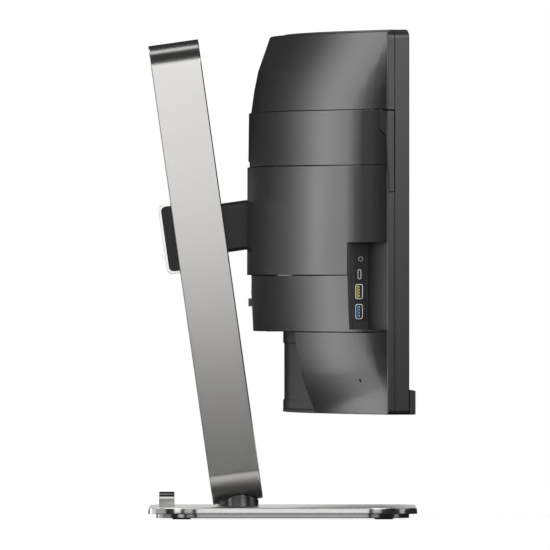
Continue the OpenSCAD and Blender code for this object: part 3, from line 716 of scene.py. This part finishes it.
def core():
    """The dark infill of the loop, with the slot that the carriage runs in at the front."""
    bm = bmesh.new()
    def pts(g):
        return loop_pts(6.2 + g)
    rings = []
    for g, v in ((1.4, -21.6), (0.5, -21.4), (0, -20.8), (0, 20.8), (0.5, 21.4), (1.4, 21.6)):
        rings.append([in_column(x, v, s) for x, s in pts(g)])
    loft(bm, rings, wrap=False)
    slot = cutter(lambda b: prism(b, rrect(-18, 18, 206, 418, 5), -30, -15, lambda u, v, h: in_column(u, h, v), 0))
    hollow = cutter(lambda b: prism(b, inset_poly(loop_pts(6.2), 2.8), -18.8, 18.8, lambda u, v, h: in_column(u, h, v), 0))
    bm = carve(bm, [hollow, slot])
    return finish_mesh("column_core_mesh", bm, [M["dark"]], "column", ["column_core"], "core_plastic", sharp=30)


core()


def guide_outline(g):
    return round_poly([(24.7, 244.5 + g), (37 - g, 244.5 + g), (37 - g, 313 - g), (24.7, 313 - g)],
                      [0, 9 - g, 9 - g, 0], 8)


def cable_guide():
    bm = bmesh.new()
    prism(bm, guide_outline(0.25), -27, 27, lambda u, v, h: in_column(h, u, v), 0.3)
    hole = cutter(lambda b: prism(b, rrect(-20, 20, 20, 33.5, 2.0, 4), 240, 318, lambda u, v, h: in_column(u, v, h), 0))
    bm = carve(bm, [hole])
    finish_mesh("cable_guide_mesh", bm, [M["dark"]], "column", ["cable_guide"], "guide_plastic", sharp=35)
    bm = bmesh.new()
    for x0, x1 in ((-28.2, -27), (27, 28.2)):
        out = guide_outline(0)
        inn = round_poly([(24.7, 247.1), (34.4, 247.1), (34.4, 310.4), (24.7, 310.4)], [0, 6.4, 6.4, 0], 8)
        n = len(out)
        secs = []
        for t, h in ((0, x0 + 0.3), (0.3, x0), (0.7, x0), (1.0, x0 + 0.3), (1.0, x1 - 0.3), (0.7, x1), (0.3, x1), (0, x1 - 0.3)):
            secs.append((t, h))
        for k in range(len(secs)):
            pass
        rings = []
        for j in range(n):
            o, i = Vector(out[j]), Vector(inn[j])
            d = (i - o)
            ring = []
            for t, h in secs:
                f = 0.0 if t == 0 else 1.0 if t == 1.0 else (0.11 if t == 0.3 else 0.89)
                p = o + d * f
                ring.append(in_column(h, p.x, p.y))
            rings.append(ring)
        loft(bm, rings, wrap=False)
    finish_mesh("cable_guide_trim_mesh", bm, [M["rim"]], "column", ["cable_guide_trim"], "guide_trim_metal", sharp=40)


cable_guide()


# ---------------------------------------------------------------- arm
def arm():
    bm = bmesh.new()
    out = round_poly([(-13.2, 258), (-53, 258), (-53, 306), (-13.2, 306)], 4.2, 6)
    prism(bm, out, -17, 17, lambda u, v, h: in_column(h, u, v), 3.2, seg=6)
    prism(bm, [(9 * cos(2 * pi * k / 40), 9 * sin(2 * pi * k / 40)) for k in range(40)], -17, 17,
          lambda u, v, h: (h, TILT_Y + u, TILT_Z + v), 0.8)
    finish_mesh("support_arm_mesh", bm, [M["arm"]], "carriage", ["support_arm"], "arm_paint", sharp=40)


arm()


# ---------------------------------------------------------------- head: frame round the screen
def bezel():
    bm = bmesh.new()
    lip = dict(uh=UH - 9.5, zl=HEAD_LO + 17.4, zh=HEAD_HI - 6.8)
    rings = [
        frame_loop(lip["uh"], lip["zl"], lip["zh"], 1.2, 1.2, 1800.08),
        frame_loop(lip["uh"], lip["zl"], lip["zh"], 1.2, 1.2, 1798.6),
        frame_loop(lip["uh"] + 0.3, lip["zl"] - 0.3, lip["zh"] + 0.3, 1.4, 1.4, 1798.3),
        frame_loop(UH - 1.3, HEAD_LO + 1.3, HEAD_HI - 1.3, 6.7, 3.2, 1798.3),
        frame_loop(UH - 0.6, HEAD_LO + 0.6, HEAD_HI - 0.6, 7.4, 3.9, 1798.5),
        frame_loop(UH - 0.15, HEAD_LO + 0.15, HEAD_HI - 0.15, 7.85, 4.35, 1799.0),
        frame_loop(UH, HEAD_LO, HEAD_HI, 8.0, 4.5, 1799.6),
        frame_loop(UH, HEAD_LO, HEAD_HI, 8.0, 4.5, 1812.75),
        frame_loop(UH - 0.12, HEAD_LO + 0.12, HEAD_HI - 0.12, 7.9, 4.4, 1813.0),
        frame_loop(UH - 0.4, HEAD_LO + 0.4, HEAD_HI - 0.4, 7.6, 4.1, 1813.1),
        frame_loop(UH - 2.8, HEAD_LO + 2.8, HEAD_HI - 2.8, 5.2, 1.8, 1813.1),
        frame_loop(UH - 2.8, HEAD_LO + 2.8, HEAD_HI - 2.8, 5.2, 1.8, 1800.08),
    ]
    loft(bm, rings, wrap=True)
    keys = []
    for xb in (502, 521, 540, 559):
        a = atan2(xb, 1807.5)
        def place(u, v, h, a=a):
            r = 1807.5 + v
            return (r * sin(a) + u * cos(a), CF + r * cos(a) - u * sin(a), h)
        keys.append(cutter(lambda b, place=place: prism(b, rrect(-6.4, 6.4, -4.4, 4.4, 1.0, 3), 98, 108, place, 0)))
    bm = carve(bm, keys)
    finish_mesh("front_bezel_mesh", bm, [M["bezel"]], "head", ["front_bezel"], "bezel_plastic", sharp=40)


bezel()


def chin():
    sec = round_poly([(1792.2, 103.6), (1798.25, 103.6), (1798.25, 127.5), (1792.2, 126.6)], [1.6, 0.3, 0.3, 1.2], 4)
    bm = arc_sweep(sec, -HALF, HALF, 150, cap_edge=0.5)
    finish_mesh("chin_strip_mesh", bm, [M["bezel"]], "head", ["chin_strip"], "chin_plastic", sharp=40)


chin()


HEAD_Y = 6.7


def hook_outline(g, top=393.1):
    return [(-3.7 - g, 316 - g), (1.2 + g, 316 - g), (3 + g, 370 - g), (HEAD_Y + g, 376 - g), (HEAD_Y + g, top), (-3.7 - g, top)]


def hook_pocket():
    def build(b):
        prism(b, hook_outline(0.5, 394.55), -3, 7.6, lambda u, v, h: in_end(h, u, v), 0)
    def head(b):
        prism(b, [(-4.2, 369.5), (3.5, 369.5), (HEAD_Y + 0.5, 375.5), (HEAD_Y + 0.5, 394.58), (-4.2, 394.58)], 7.0, 16.2,
              lambda u, v, h: in_end(h, u, v), 0)
    return [cutter(build), cutter(head)]


def mid_frame():
    bm = bmesh.new()
    rings = [
        frame_loop(UH - 3.0, HEAD_LO + 3.0, HEAD_HI - 3.0, 5, 1.5, 1813.4),
        frame_loop(UH - 0.4, HEAD_LO + 0.4, HEAD_HI - 0.4, 7.6, 4.1, 1813.4),
        frame_loop(UH - 0.12, HEAD_LO + 0.12, HEAD_HI - 0.12, 7.9, 4.4, 1813.5),
        frame_loop(UH, HEAD_LO, HEAD_HI, 8.0, 4.5, 1813.8),
        frame_loop(UH, HEAD_LO, HEAD_HI, 8.0, 4.5, 1816.6),
        frame_loop(UH - 0.2, HEAD_LO + 0.2, HEAD_HI - 0.2, 7.8, 4.3, 1817.1),
        frame_loop(UH - 0.7, HEAD_LO + 0.7, HEAD_HI - 0.7, 7.3, 3.8, 1817.3),
        frame_loop(UH - 3.0, HEAD_LO + 3.0, HEAD_HI - 3.0, 5, 1.5, 1817.3),
    ]
    loft(bm, rings, wrap=True)
    body = carve(bm, hook_pocket())
    posts = bmesh.new()
    for m in (1, -1):
        rings = []
        zs = [HEAD_LO + 1.0 + k * 0.5 for k in range(9)] + [HEAD_LO + 6 + k * (Z_HI - HEAD_LO - 14) / 20 for k in range(21)] + \
             [Z_HI - 7 + k * 0.5 for k in range(13)]
        for z in zs:
            dt, db = HEAD_HI - z, z - HEAD_LO
            x0 = 0.0
            if dt < 8:
                x0 = 8 - sqrt(64 - (8 - dt) ** 2)
            if db < 4.5:
                x0 = max(x0, 4.5 - sqrt(4.5 ** 2 - (4.5 - db) ** 2))
            x0 = min(x0, 3.4)
            sec = [(x0, -0.5), (3.85, -0.5), (3.85, 2.1), (3.5, 2.4), (x0 + 0.55, 2.4), (x0 + 0.16, 2.2), (x0, 1.8)]
            rings.append([(m * in_end(x, y, z)[0], in_end(x, y, z)[1], z) for x, y in sec])
        loft(posts, rings, wrap=False)
    posts = carve(posts, hook_pocket())
    me = bpy.data.meshes.new("tmp")
    posts.to_mesh(me)
    posts.free()
    body.from_mesh(me)
    bpy.data.meshes.remove(me)
    finish_mesh("mid_frame_mesh", body, [M["mid"]], "head", ["mid_frame"], "mid_frame_plastic", sharp=40)


mid_frame()


def screen():
    sec = [(1800.2, 107.8), (1801.6, 107.8), (1801.6, 466.2), (1800.2, 466.2)]
    bm = arc_sweep(sec, -HALF + radians(0.14), HALF - radians(0.14), 240)
    finish_mesh("lcd_panel_mesh", bm, [M["glass"]], "head", ["lcd_panel"], "screen_glass", sharp=40)


screen()


# ---------------------------------------------------------------- head: rear covers
def box_cut(lo, hi):
    return cutter(lambda b: box_bm(b, lo, hi))


recess_lo, recess_hi = (-62.0, -5, 221.8), (62.0, 60, 347.2)
bay_lo, bay_hi = (-660.0, -140, BAY_Z0), (-BAY_X, -20, BAY_Z1)

bm = cover(PROF_TOP, Z4, Z_HI, floor_b=2.6, skirt=True, lip_a=0, fil_a=0.5, fil_b=0.9)
finish_mesh("rear_top_shell_mesh", bm, [M["shell"]], "head", ["rear_top_shell"], "shell_plastic")
bm = carve(cover(PROF_3, Z3, Z4, lip_a=4, lip_b=7), [box_cut(recess_lo, recess_hi)] + hook_pocket())
finish_mesh("rear_upper_band_mesh", bm, [M["shell"]], "head", ["rear_upper_band"], "shell_plastic")
bm = carve(cover(PROF_4, Z2, Z3, lip_a=8, lip_b=7), [box_cut(recess_lo, recess_hi), box_cut(bay_lo, bay_hi), box_cut((-548, -90, 236.4), (-534, -64.4, 239.5))] + hook_pocket())
finish_mesh("rear_center_cover_mesh", bm, [M["shell"]], "head", ["rear_center_cover"], "shell_plastic")
cuts = [box_cut(recess_lo, recess_hi), box_cut(bay_lo, bay_hi), box_cut((-4.6, 10, 205.4), (4.6, 40, 214.6)),
        box_cut((-131.2, 1.5, 180), (-102.8, 19.7, 186)), box_cut((-89.2, 5.9, 180), (-70.8, 18.3, 186))]
for xp in (78, 104, 130, 156, 180):
    cuts.append(box_cut((xp - 8.6, 3.2, 180), (xp + 8.6, 12.6, 186)))
bm = carve(cover(PROF_5, Z1, Z2, floor_a=2.4, cc=CP), cuts)
finish_mesh("rear_port_cover_mesh", bm, [M["shell"]], "head", ["rear_port_cover"], "shell_plastic")


def lower():
    whole = bmesh.new()
    for x0, x1 in ((-END_X, -355.0), (355.0, END_X)):
        bm = cover(PROF_LOW, HEAD_LO, Z1, x0, x1, floor_a=2.6, skirt=True, fil_a=0.9, fil_b=0.5, end_fil=0.7)
        if x0 < 0:
            lock = cutter(lambda b: prism(b, rrect(-2.6, 2.6, 134.4, 137.4, 0.5, 2), -12, 12,
                                          lambda u, v, h: (-538 + h * -0.342 + u * 0.94, -72.9 + h * 0.94 + u * 0.342, v), 0))
            bm = carve(bm, [lock])
        me = bpy.data.meshes.new("tmp")
        bm.to_mesh(me)
        bm.free()
        whole.from_mesh(me)
        bpy.data.meshes.remove(me)
    finish_mesh("rear_lower_shells_mesh", whole, [M["shell"]], "head", ["rear_lower_shells"], "shell_plastic")


lower()


def back_panel():
    sec = round_poly([(1814.0, 106.8), (1817.1, 106.8), (1817.1, 114.5), (1816.0, 116.5), (1816.0, 169.5), (1817.1, 171.5), (1817.1, 181.8),
                      (1814.0, 181.8)], [0.2, 0.8, 0.5, 0.5, 0.5, 0.5, 0.5, 0.2], 3)
    bm = arc_sweep(sec, -0.1965, 0.1965, 64, cap_edge=0.4)
    finish_mesh("back_panel_mesh", bm, [M["panel"]], "head", ["back_panel"], "back_panel_plastic")


back_panel()


# ---------------------------------------------------------------- head: side ports
JACK, USBC, USBA = (-74.3, 252.0), (-73.1, 237.4), ((-72.7, 220.9), (-72.7, 201.8))


def side_x(u, v, h):
    """u is Y, v is Z, h is depth inward from the face that holds the ports."""
    return (-BAY_X + h, u, v)


def port_bay():
    bm = bmesh.new()
    # end face with a shallow tray round the sockets
    prism(bm, [(-82, 184.7), (-66.9, 184.7), (-64.2, 236.3), (-64.2, 270.0), (-82, 270.0)], 0.0, 2.2, side_x, 0)
    bm = carve(bm, [cutter(lambda b: prism(b, rrect(-83.5, -68.4, 191.6, 260.6, 0.6, 3), -1, 0.9, side_x, 0))])
    # front wall and roof
    wall = [(x, y_thin(x, 1819)) for x in [-(540.8 + k * 3.7) for k in range(16)]]
    back = [(x, y_thin(x, 1817.6)) for x, _ in wall][::-1]
    rings = [[(x, y, z) for x, y in wall + back] for z in (184.7, 200, 220, 240, 260, 270.0)]
    loft(bm, rings, wrap=False)
    roof = [(x, min(y_flank(x) - 4.2, -61)) for x in [-(541 + k * 3.4) for k in range(15)]]
    floor = [(x, y_thin(x, 1818.2)) for x, _ in roof][::-1]
    rings = [[(x, y, z) for x, y in roof + floor] for z in (268.2, 270.0)]
    loft(bm, rings, wrap=False)
    finish_mesh("port_bay_mesh", bm, [M["bay"]], "head", ["port_bay"], "port_bay_plastic", sharp=25)
    # dark insert that the sockets stand in
    bm = bmesh.new()
    prism(bm, rrect(-81.8, -68.7, 191.9, 260.3, 0.4, 3), 0.75, 1.3, side_x, 0.05)
    holes = [cutter(lambda b: prism(b, [(JACK[0] + 2.2 * cos(2 * pi * k / 24), JACK[1] + 2.2 * sin(2 * pi * k / 24)) for k in range(24)], 0, 3, side_x, 0)),
             cutter(lambda b: prism(b, rrect(USBC[0] - 1.5, USBC[0] + 1.5, USBC[1] - 4.6, USBC[1] + 4.6, 1.4, 5), 0, 3, side_x, 0))]
    for uy, uz in USBA:
        holes.append(cutter(lambda b, uy=uy, uz=uz: prism(b, rrect(uy - 3.4, uy + 3.4, uz - 7.0, uz + 7.0, 1.0, 4), 0, 3, side_x, 0)))
    bm = carve(bm, holes)
    o = finish_mesh("port_insert_mesh", bm, [M["bay_inner"]], "head", ["port_bay"], "port_bay_plastic", sharp=25)
    # jack
    bm = bmesh.new()
    ring = lambda r, h: [side_x(JACK[0] + r * cos(2 * pi * k / 32), JACK[1] + r * sin(2 * pi * k / 32), h) for k in range(32)]
    loft(bm, [ring(3.0, 0.9), ring(3.0, -0.1), ring(2.85, -0.25), ring(2.5, -0.25), ring(2.35, -0.1), ring(2.3, 0.9)], wrap=True, mat=lambda k: 2)
    loft(bm, [ring(2.3, 0.9), ring(2.3, 0.05), ring(2.22, -0.05), ring(2.02, -0.05), ring(1.95, 0.05), ring(1.95, 0.9)], wrap=True)
    loft(bm, [ring(1.95, 0.4), ring(1.8, 0.6), ring(1.8, 10.6), ring(3.0, 10.6), ring(3.0, 1.0), ring(1.95, 1.0)],
         wrap=True, mat=lambda k: 1)
    finish_mesh("audio_jack_mesh", bm, [M["nickel"], M["black"], M["bay_inner"]], "head", ["audio_jack"], "jack_plastic", sharp=35)
    # usb-c
    bm = bmesh.new()
    def rr(w, l, r, h, c=USBC):
        return [side_x(u, v, h) for u, v in rrect(c[0] - w, c[0] + w, c[1] - l, c[1] + l, r, 6)]
    loft(bm, [rr(1.65, 4.8, 1.6, 9), rr(1.65, 4.8, 1.6, 0), rr(1.6, 4.75, 1.55, -0.3), rr(1.15, 4.3, 1.1, -0.3), rr(1.1, 4.25, 1.05, 0),
              rr(1.1, 4.25, 1.05, 8.0)], wrap=False, caps=True)
    prism(bm, rrect(USBC[0] - 0.35, USBC[0] + 0.35, USBC[1] - 3.2, USBC[1] + 3.2, 0.3, 2), 0.9, 8.5, side_x, 0.1, mat=lambda k: 1)
    finish_mesh("usb_c_mesh", bm, [M["nickel"], M["black"]], "head", ["usb_c_port"], "connector_steel", sharp=40)
    # usb-a shells, tongues and contacts
    bm = bmesh.new()
    for c in USBA:
        loft(bm, [rr(3.6, 7.2, 2.0, 12, c), rr(3.6, 7.2, 2.0, 0, c), rr(3.55, 7.15, 1.95, -0.35, c), rr(2.95, 6.55, 1.5, -0.35, c),
                  rr(2.85, 6.45, 1.4, 0, c), rr(2.85, 6.45, 1.4, 11.6, c)], wrap=False, caps=True)
    finish_mesh("usb_a_mesh", bm, [M["nickel"]], "head", ["usb_a_shells"], "connector_steel", sharp=40)
    for k, (name, mat) in enumerate((("usb_tongue_upper", "yellow"), ("usb_tongue_lower", "blue"))):
        c = USBA[k]
        bm = bmesh.new()
        prism(bm, rrect(c[0] + 0.2, c[0] + 2.5, c[1] - 5.9, c[1] + 5.9, 0.3, 3), 0.15, 11.4, side_x, 0.2)
        for j in range(4):
            z = c[1] - 4.2 + 2.8 * j
            prism(bm, rrect(c[0] - 0.6, c[0] + 0.25, z - 0.75, z + 0.75, 0.15, 2), 0.4, 9.0, side_x, 0.08, mat=lambda q: 1)
        finish_mesh(name, bm, [M[mat], M["nickel"]], "head", ["usb_tongues"], "tongue_plastic", sharp=40)


port_bay()


# ---------------------------------------------------------------- hook and release button
def hook():
    """Folded, it lies flush with the end frame, and its head wraps round the flank."""
    def outer(x):
        return y_thin(x, 1819.85) if x <= -599 else max(y_thin(x, 1819.85), y_flank(x) - 0.1)
    xs = [-602.2, -601, -600, -599.01, -598.99] + [-(598 - k * 1.5) for k in range(22)]
    def skin(b):
        plan = [in_end(-1.0, 2.35, 0)[:2]] + [(x, outer(x)) for x in xs] + [(-563, -140), in_end(-1.0, -30, 0)[:2]]
        prism(b, plan, 300, 400, lambda u, v, h: (u, v, h), 0)
    def hollow(b):
        plan = [(x, outer(x) - 4.6) for x in xs[4:]] + [(-563, -150), (-598.9, -150)]
        prism(b, plan, 300, 400, lambda u, v, h: (u, v, h), 0)
    bm = bmesh.new()
    out = round_poly([(-3.7, 316), (1.2, 316), (3, 370), (HEAD_Y, 376), (HEAD_Y, 393.1), (-3.7, 393.1)], [0.5, 0.5, 3, 2, 0.6, 0.5], 4)
    prism(bm, out, 0.15, 7.0, lambda u, v, h: in_end(h, u, v), 0.35, 0.0)
    bm = carve(bm, [cutter(skin)], "INTERSECT")
    head = bmesh.new()
    out = round_poly([(-3.7, 370), (3, 370), (HEAD_Y, 376), (HEAD_Y, 393.1), (-3.7, 393.1)], [0.5, 3, 2, 0.6, 0.5], 4)
    prism(head, out, 6.9, 15.4, lambda u, v, h: in_end(h, u, v), 0.0, 0.4)
    head = carve(carve(head, [cutter(skin)], "INTERSECT"), [cutter(hollow)])
    prism(head, [(3.6 + 3.4 * cos(2 * pi * k / 28), 319.7 + 3.4 * sin(2 * pi * k / 28)) for k in range(28)], -3.6, 1.1,
          lambda u, v, h: in_end(u, h, v), 0.3)
    prism(head, [(6.6, 384.6), (14.1, 384.6), (14.1, 391.5), (6.6, 391.5)], -3.7, 0.2, lambda u, v, h: in_end(u, h, v), 0.3)
    me = bpy.data.meshes.new("tmp")
    head.to_mesh(me)
    head.free()
    bm.from_mesh(me)
    bpy.data.meshes.remove(me)
    finish_mesh("headset_hook_mesh", bm, [M["mid"]], "hook", ["headset_hook"], "hook_plastic", sharp=40)


hook()


def release():
    bm = bmesh.new()
    prism(bm, rrect(-3.9, 3.9, 206.1, 213.9, 1.0, 4), 25, 33.5, lambda u, v, h: (u, h, v), 0.2, 0.6)
    prism(bm, rrect(-5.6, 5.6, 204.4, 215.6, 1.0, 4), 23.9, 26.0, lambda u, v, h: (u, h, v), 0.2)
    finish_mesh("release_button_mesh", bm, [M["release"]], "release", ["release_button"], "release_plastic", sharp=40)


release()

# ---------------------------------------------------------------- CAD nodes that stay, with their finishes
KEEP = {
    "rubber_feet": "rubber", "base_screws": "steel", "swivel_disc": "acetal", "swivel_bolt": "steel",
    "guide_rails": "ground", "rail_blocks": "dark", "spring_drum": "acetal", "lift_spring": "spring",
    "carriage_block": "cast", "carriage_bushes": "acetal", "hinge_pin": "ground", "friction_washers": "brass",
    "tilt_bracket": "oxide", "mount_plate": "arm", "mount_screws": "steel", "mount_recess": "panel",
    "chassis_plate": "sheet", "diffuser_sheets": "film", "light_guide": "acrylic", "led_bar": "lamps",
    "backlight_tray": "sheet", "main_board": "mask", "power_board": "laminate", "speakers": "black",
    "video_ports": "nickel", "ac_inlet": "black", "hook_pin": "ground", "button_board": "mask",
    "rocker_switch": "black", "menu_button": "dark", "minus_button": "dark", "plus_button": "dark", "power_button": "dark",
}
for name, mat in KEEP.items():
    o = frame["nodes"][name]
    if not o.material_slots:
        o.data.materials.append(M[mat])
    for s in o.material_slots:
        s.material = M[mat]

# ---------------------------------------------------------------- stage, light, camera
FLOOR_NEAR = 0.90
scene = bpy.context.scene
scene.view_settings.view_transform = "Standard"
scene.view_settings.look = "None"
scene.view_settings.exposure = 0.0
scene.view_settings.gamma = 1.0

bm = bmesh.new()
n = 96
rows = [[bm.verts.new((r * cos(2 * pi * k / n), r * sin(2 * pi * k / n), -0.0002)) for k in range(n)] for r in (0.4, 1.0, 2.0, 4.0)]
bm.faces.new(rows[0])
for a, b in zip(rows, rows[1:]):
    for k in range(n):
        bm.faces.new((a[k], a[(k + 1) % n], b[(k + 1) % n], b[k]))
me = bpy.data.meshes.new("floor")
bm.to_mesh(me)
bm.free()
floor = bpy.data.objects.new("floor", me)
scene.collection.objects.link(floor)
fm = bpy.data.materials.new("pale_floor")
fm.use_nodes = True
ft = fm.node_tree
fb = ft.nodes["Principled BSDF"]
fb.inputs["Base Color"].default_value = (0.35, 0.35, 0.35, 1)
fb.inputs["Roughness"].default_value = 0.9
fb.inputs["Specular IOR Level"].default_value = 0.0
fb.inputs["Emission Color"].default_value = (1, 1, 1, 1)
at = ft.nodes.new("ShaderNodeTexCoord")
far = ft.nodes.new("ShaderNodeVectorMath")
far.operation = "LENGTH"
ft.links.new(at.outputs["Object"], far.inputs[0])
rise = ft.nodes.new("ShaderNodeMapRange")
rise.inputs["From Min"].default_value = 0.35
rise.inputs["From Max"].default_value = 1.3
rise.inputs["To Min"].default_value = FLOOR_NEAR
rise.inputs["To Max"].default_value = 1.0
ft.links.new(far.outputs["Value"], rise.inputs["Value"])
ft.links.new(rise.outputs["Result"], fb.inputs["Emission Strength"])
me.materials.append(fm)
floor.visible_diffuse = False
floor.visible_glossy = False
floor.visible_shadow = False
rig.stage(floor)

world = bpy.data.worlds.new("studio")
scene.world = world
world.use_nodes = True
wt = world.node_tree
wt.nodes.clear()
out = wt.nodes.new("ShaderNodeOutputWorld")
see = wt.nodes.new("ShaderNodeBackground")
see.inputs["Color"].default_value = (1, 1, 1, 1)
see.inputs["Strength"].default_value = 1.0
lit = wt.nodes.new("ShaderNodeBackground")
lit.inputs["Color"].default_value = (1, 1, 1, 1)
lit.inputs["Strength"].default_value = 0.025
path = wt.nodes.new("ShaderNodeLightPath")
mix = wt.nodes.new("ShaderNodeMixShader")
wt.links.new(path.outputs["Is Camera Ray"], mix.inputs["Fac"])
wt.links.new(lit.outputs["Background"], mix.inputs[1])
wt.links.new(see.outputs["Background"], mix.inputs[2])
wt.links.new(mix.outputs["Shader"], out.inputs["Surface"])


def softbox(name, at, aim, w, h, radiance, colour=(1, 1, 1)):
    """A rectangular light whose strength is given as its radiance, so that its size can change freely."""
    d = bpy.data.lights.new(name, "AREA")
    d.shape = "RECTANGLE"
    d.size, d.size_y = w, h
    d.energy = radiance * w * h * pi
    d.color = colour
    o = bpy.data.objects.new(name, d)
    scene.collection.objects.link(o)
    o.location = at
    o.rotation_mode = "QUATERNION"
    o.rotation_quaternion = (Vector(aim) - Vector(at)).to_track_quat("-Z", "Y")
    o.visible_camera = False
    return o


def around(beta, dist, z):
    """A place at an angle from +X toward +Y, seen from the rounded flank at the camera's end of the head."""
    return (-0.5 + dist * cos(radians(beta)), -0.05 + dist * sin(radians(beta)), z)


FLANK = (-0.5, -0.05, 0.30)
softbox("camera_side", (-1.6, 0.0, 0.681), (0.0, 0.0, 0.681), 1.7, 0.998, 1.15)
softbox("overhead", (0.0, 0.0, 1.9), (0.0, 0.0, 0.0), 0.45, 2.2, 0.95)
softbox("rear_key", around(36.0, 2.4, 0.66), FLANK, 0.34, 1.87, 1.9)
softbox("rear_key_low", around(37.5, 2.4, -0.44), FLANK, 0.3, 0.33, 1.5)
softbox("rear_near", around(12.0, 2.4, 0.10), FLANK, 0.3, 0.5, 0.16)
softbox("rear_edge", around(29.0, 2.4, 0.66), FLANK, 0.2, 1.87, 0.25)
softbox("rear_fill", around(50.0, 2.4, 0.55), FLANK, 0.78, 2.1, 0.80)
softbox("rear_wide", around(75.0, 2.4, -0.03), FLANK, 1.3, 0.96, 0.40)
softbox("rear_wide_high", around(75.0, 2.4, 1.0), FLANK, 1.3, 1.1, 0.85)
softbox("rear_back", around(128.0, 3.2, 1.25), FLANK, 1.6, 1.3, 1.3)
softbox("rear_high", (0.7, 1.15, 2.0), (-0.4, 0.0, 0.3), 0.7, 0.7, 2.5)
softbox("rear_left", (-1.35, 1.5, 0.4), (0.0, 0.0, 0.1), 0.5, 1.1, 1.2)
softbox("front_left", (-1.75, -1.0, 0.82), (-0.6, -0.1, 0.5), 0.9, 0.95, 2.7)
softbox("front_left_high", (-1.75, -1.0, 1.28), (-0.6, -0.1, 0.46), 0.9, 0.3, 5.0)
softbox("front_low", (-0.2, -2.0, 0.02), (-0.1, 0.0, 0.02), 0.5, 0.36, 0.5)
softbox("front", (-0.1, -2.2, 0.7), (0.0, 0.0, 0.25), 1.6, 1.0, 0.8)
# low strips for the edge of the base alone, not for the column above it
edge = bpy.data.collections.new("base_edge_only")
for o in bpy.data.objects:
    if o.name.startswith(("base_", "rubber_feet", "cable_hoop")):
        edge.objects.link(o)
strips = [softbox("low_strip", (-0.52, 0.0, 0.002), (0.0, 0.0, 0.002), 0.24, 0.052, 1.05)]
for name, y in (("low_strip_rear", 0.235), ("low_strip_front", -0.235)):
    strips.append(softbox(name, (-0.52, y, 0.002), (-0.16, y * 0.36, 0.002), 0.12, 0.052, 0.6))
for o in strips:
    o.light_linking.receiver_collection = edge

# a low light far behind the base, for the base's top alone
glow = softbox("base_glow", (2.4, 0.0, 0.42), (0.0, 0.0, 0.02), 1.7, 0.9, 1.25)
only = bpy.data.collections.new("base_top_only")
for o in bpy.data.objects:
    if o.name.startswith("base_plate_mesh"):
        only.objects.link(o)
glow.light_linking.receiver_collection = only

cd = bpy.data.cameras.new("camera")
cam = bpy.data.objects.new("camera", cd)
scene.collection.objects.link(cam)
cd.type = "PERSP"
cd.sensor_width = 36.0
D = 24.0
cd.lens = 36.0 * D / 0.5302
cd.clip_start, cd.clip_end = 1.0, 60.0
cam.location = (-0.3 - D, 0.0075, 0.2367)
cam.rotation_mode = "QUATERNION"
cam.rotation_quaternion = Vector((1, 0, 0)).to_track_quat("-Z", "Y")
scene.camera = cam

json.dump({"cad": cad_box, "visual": [list(v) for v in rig.bounds()]}, open("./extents.json", "w"))
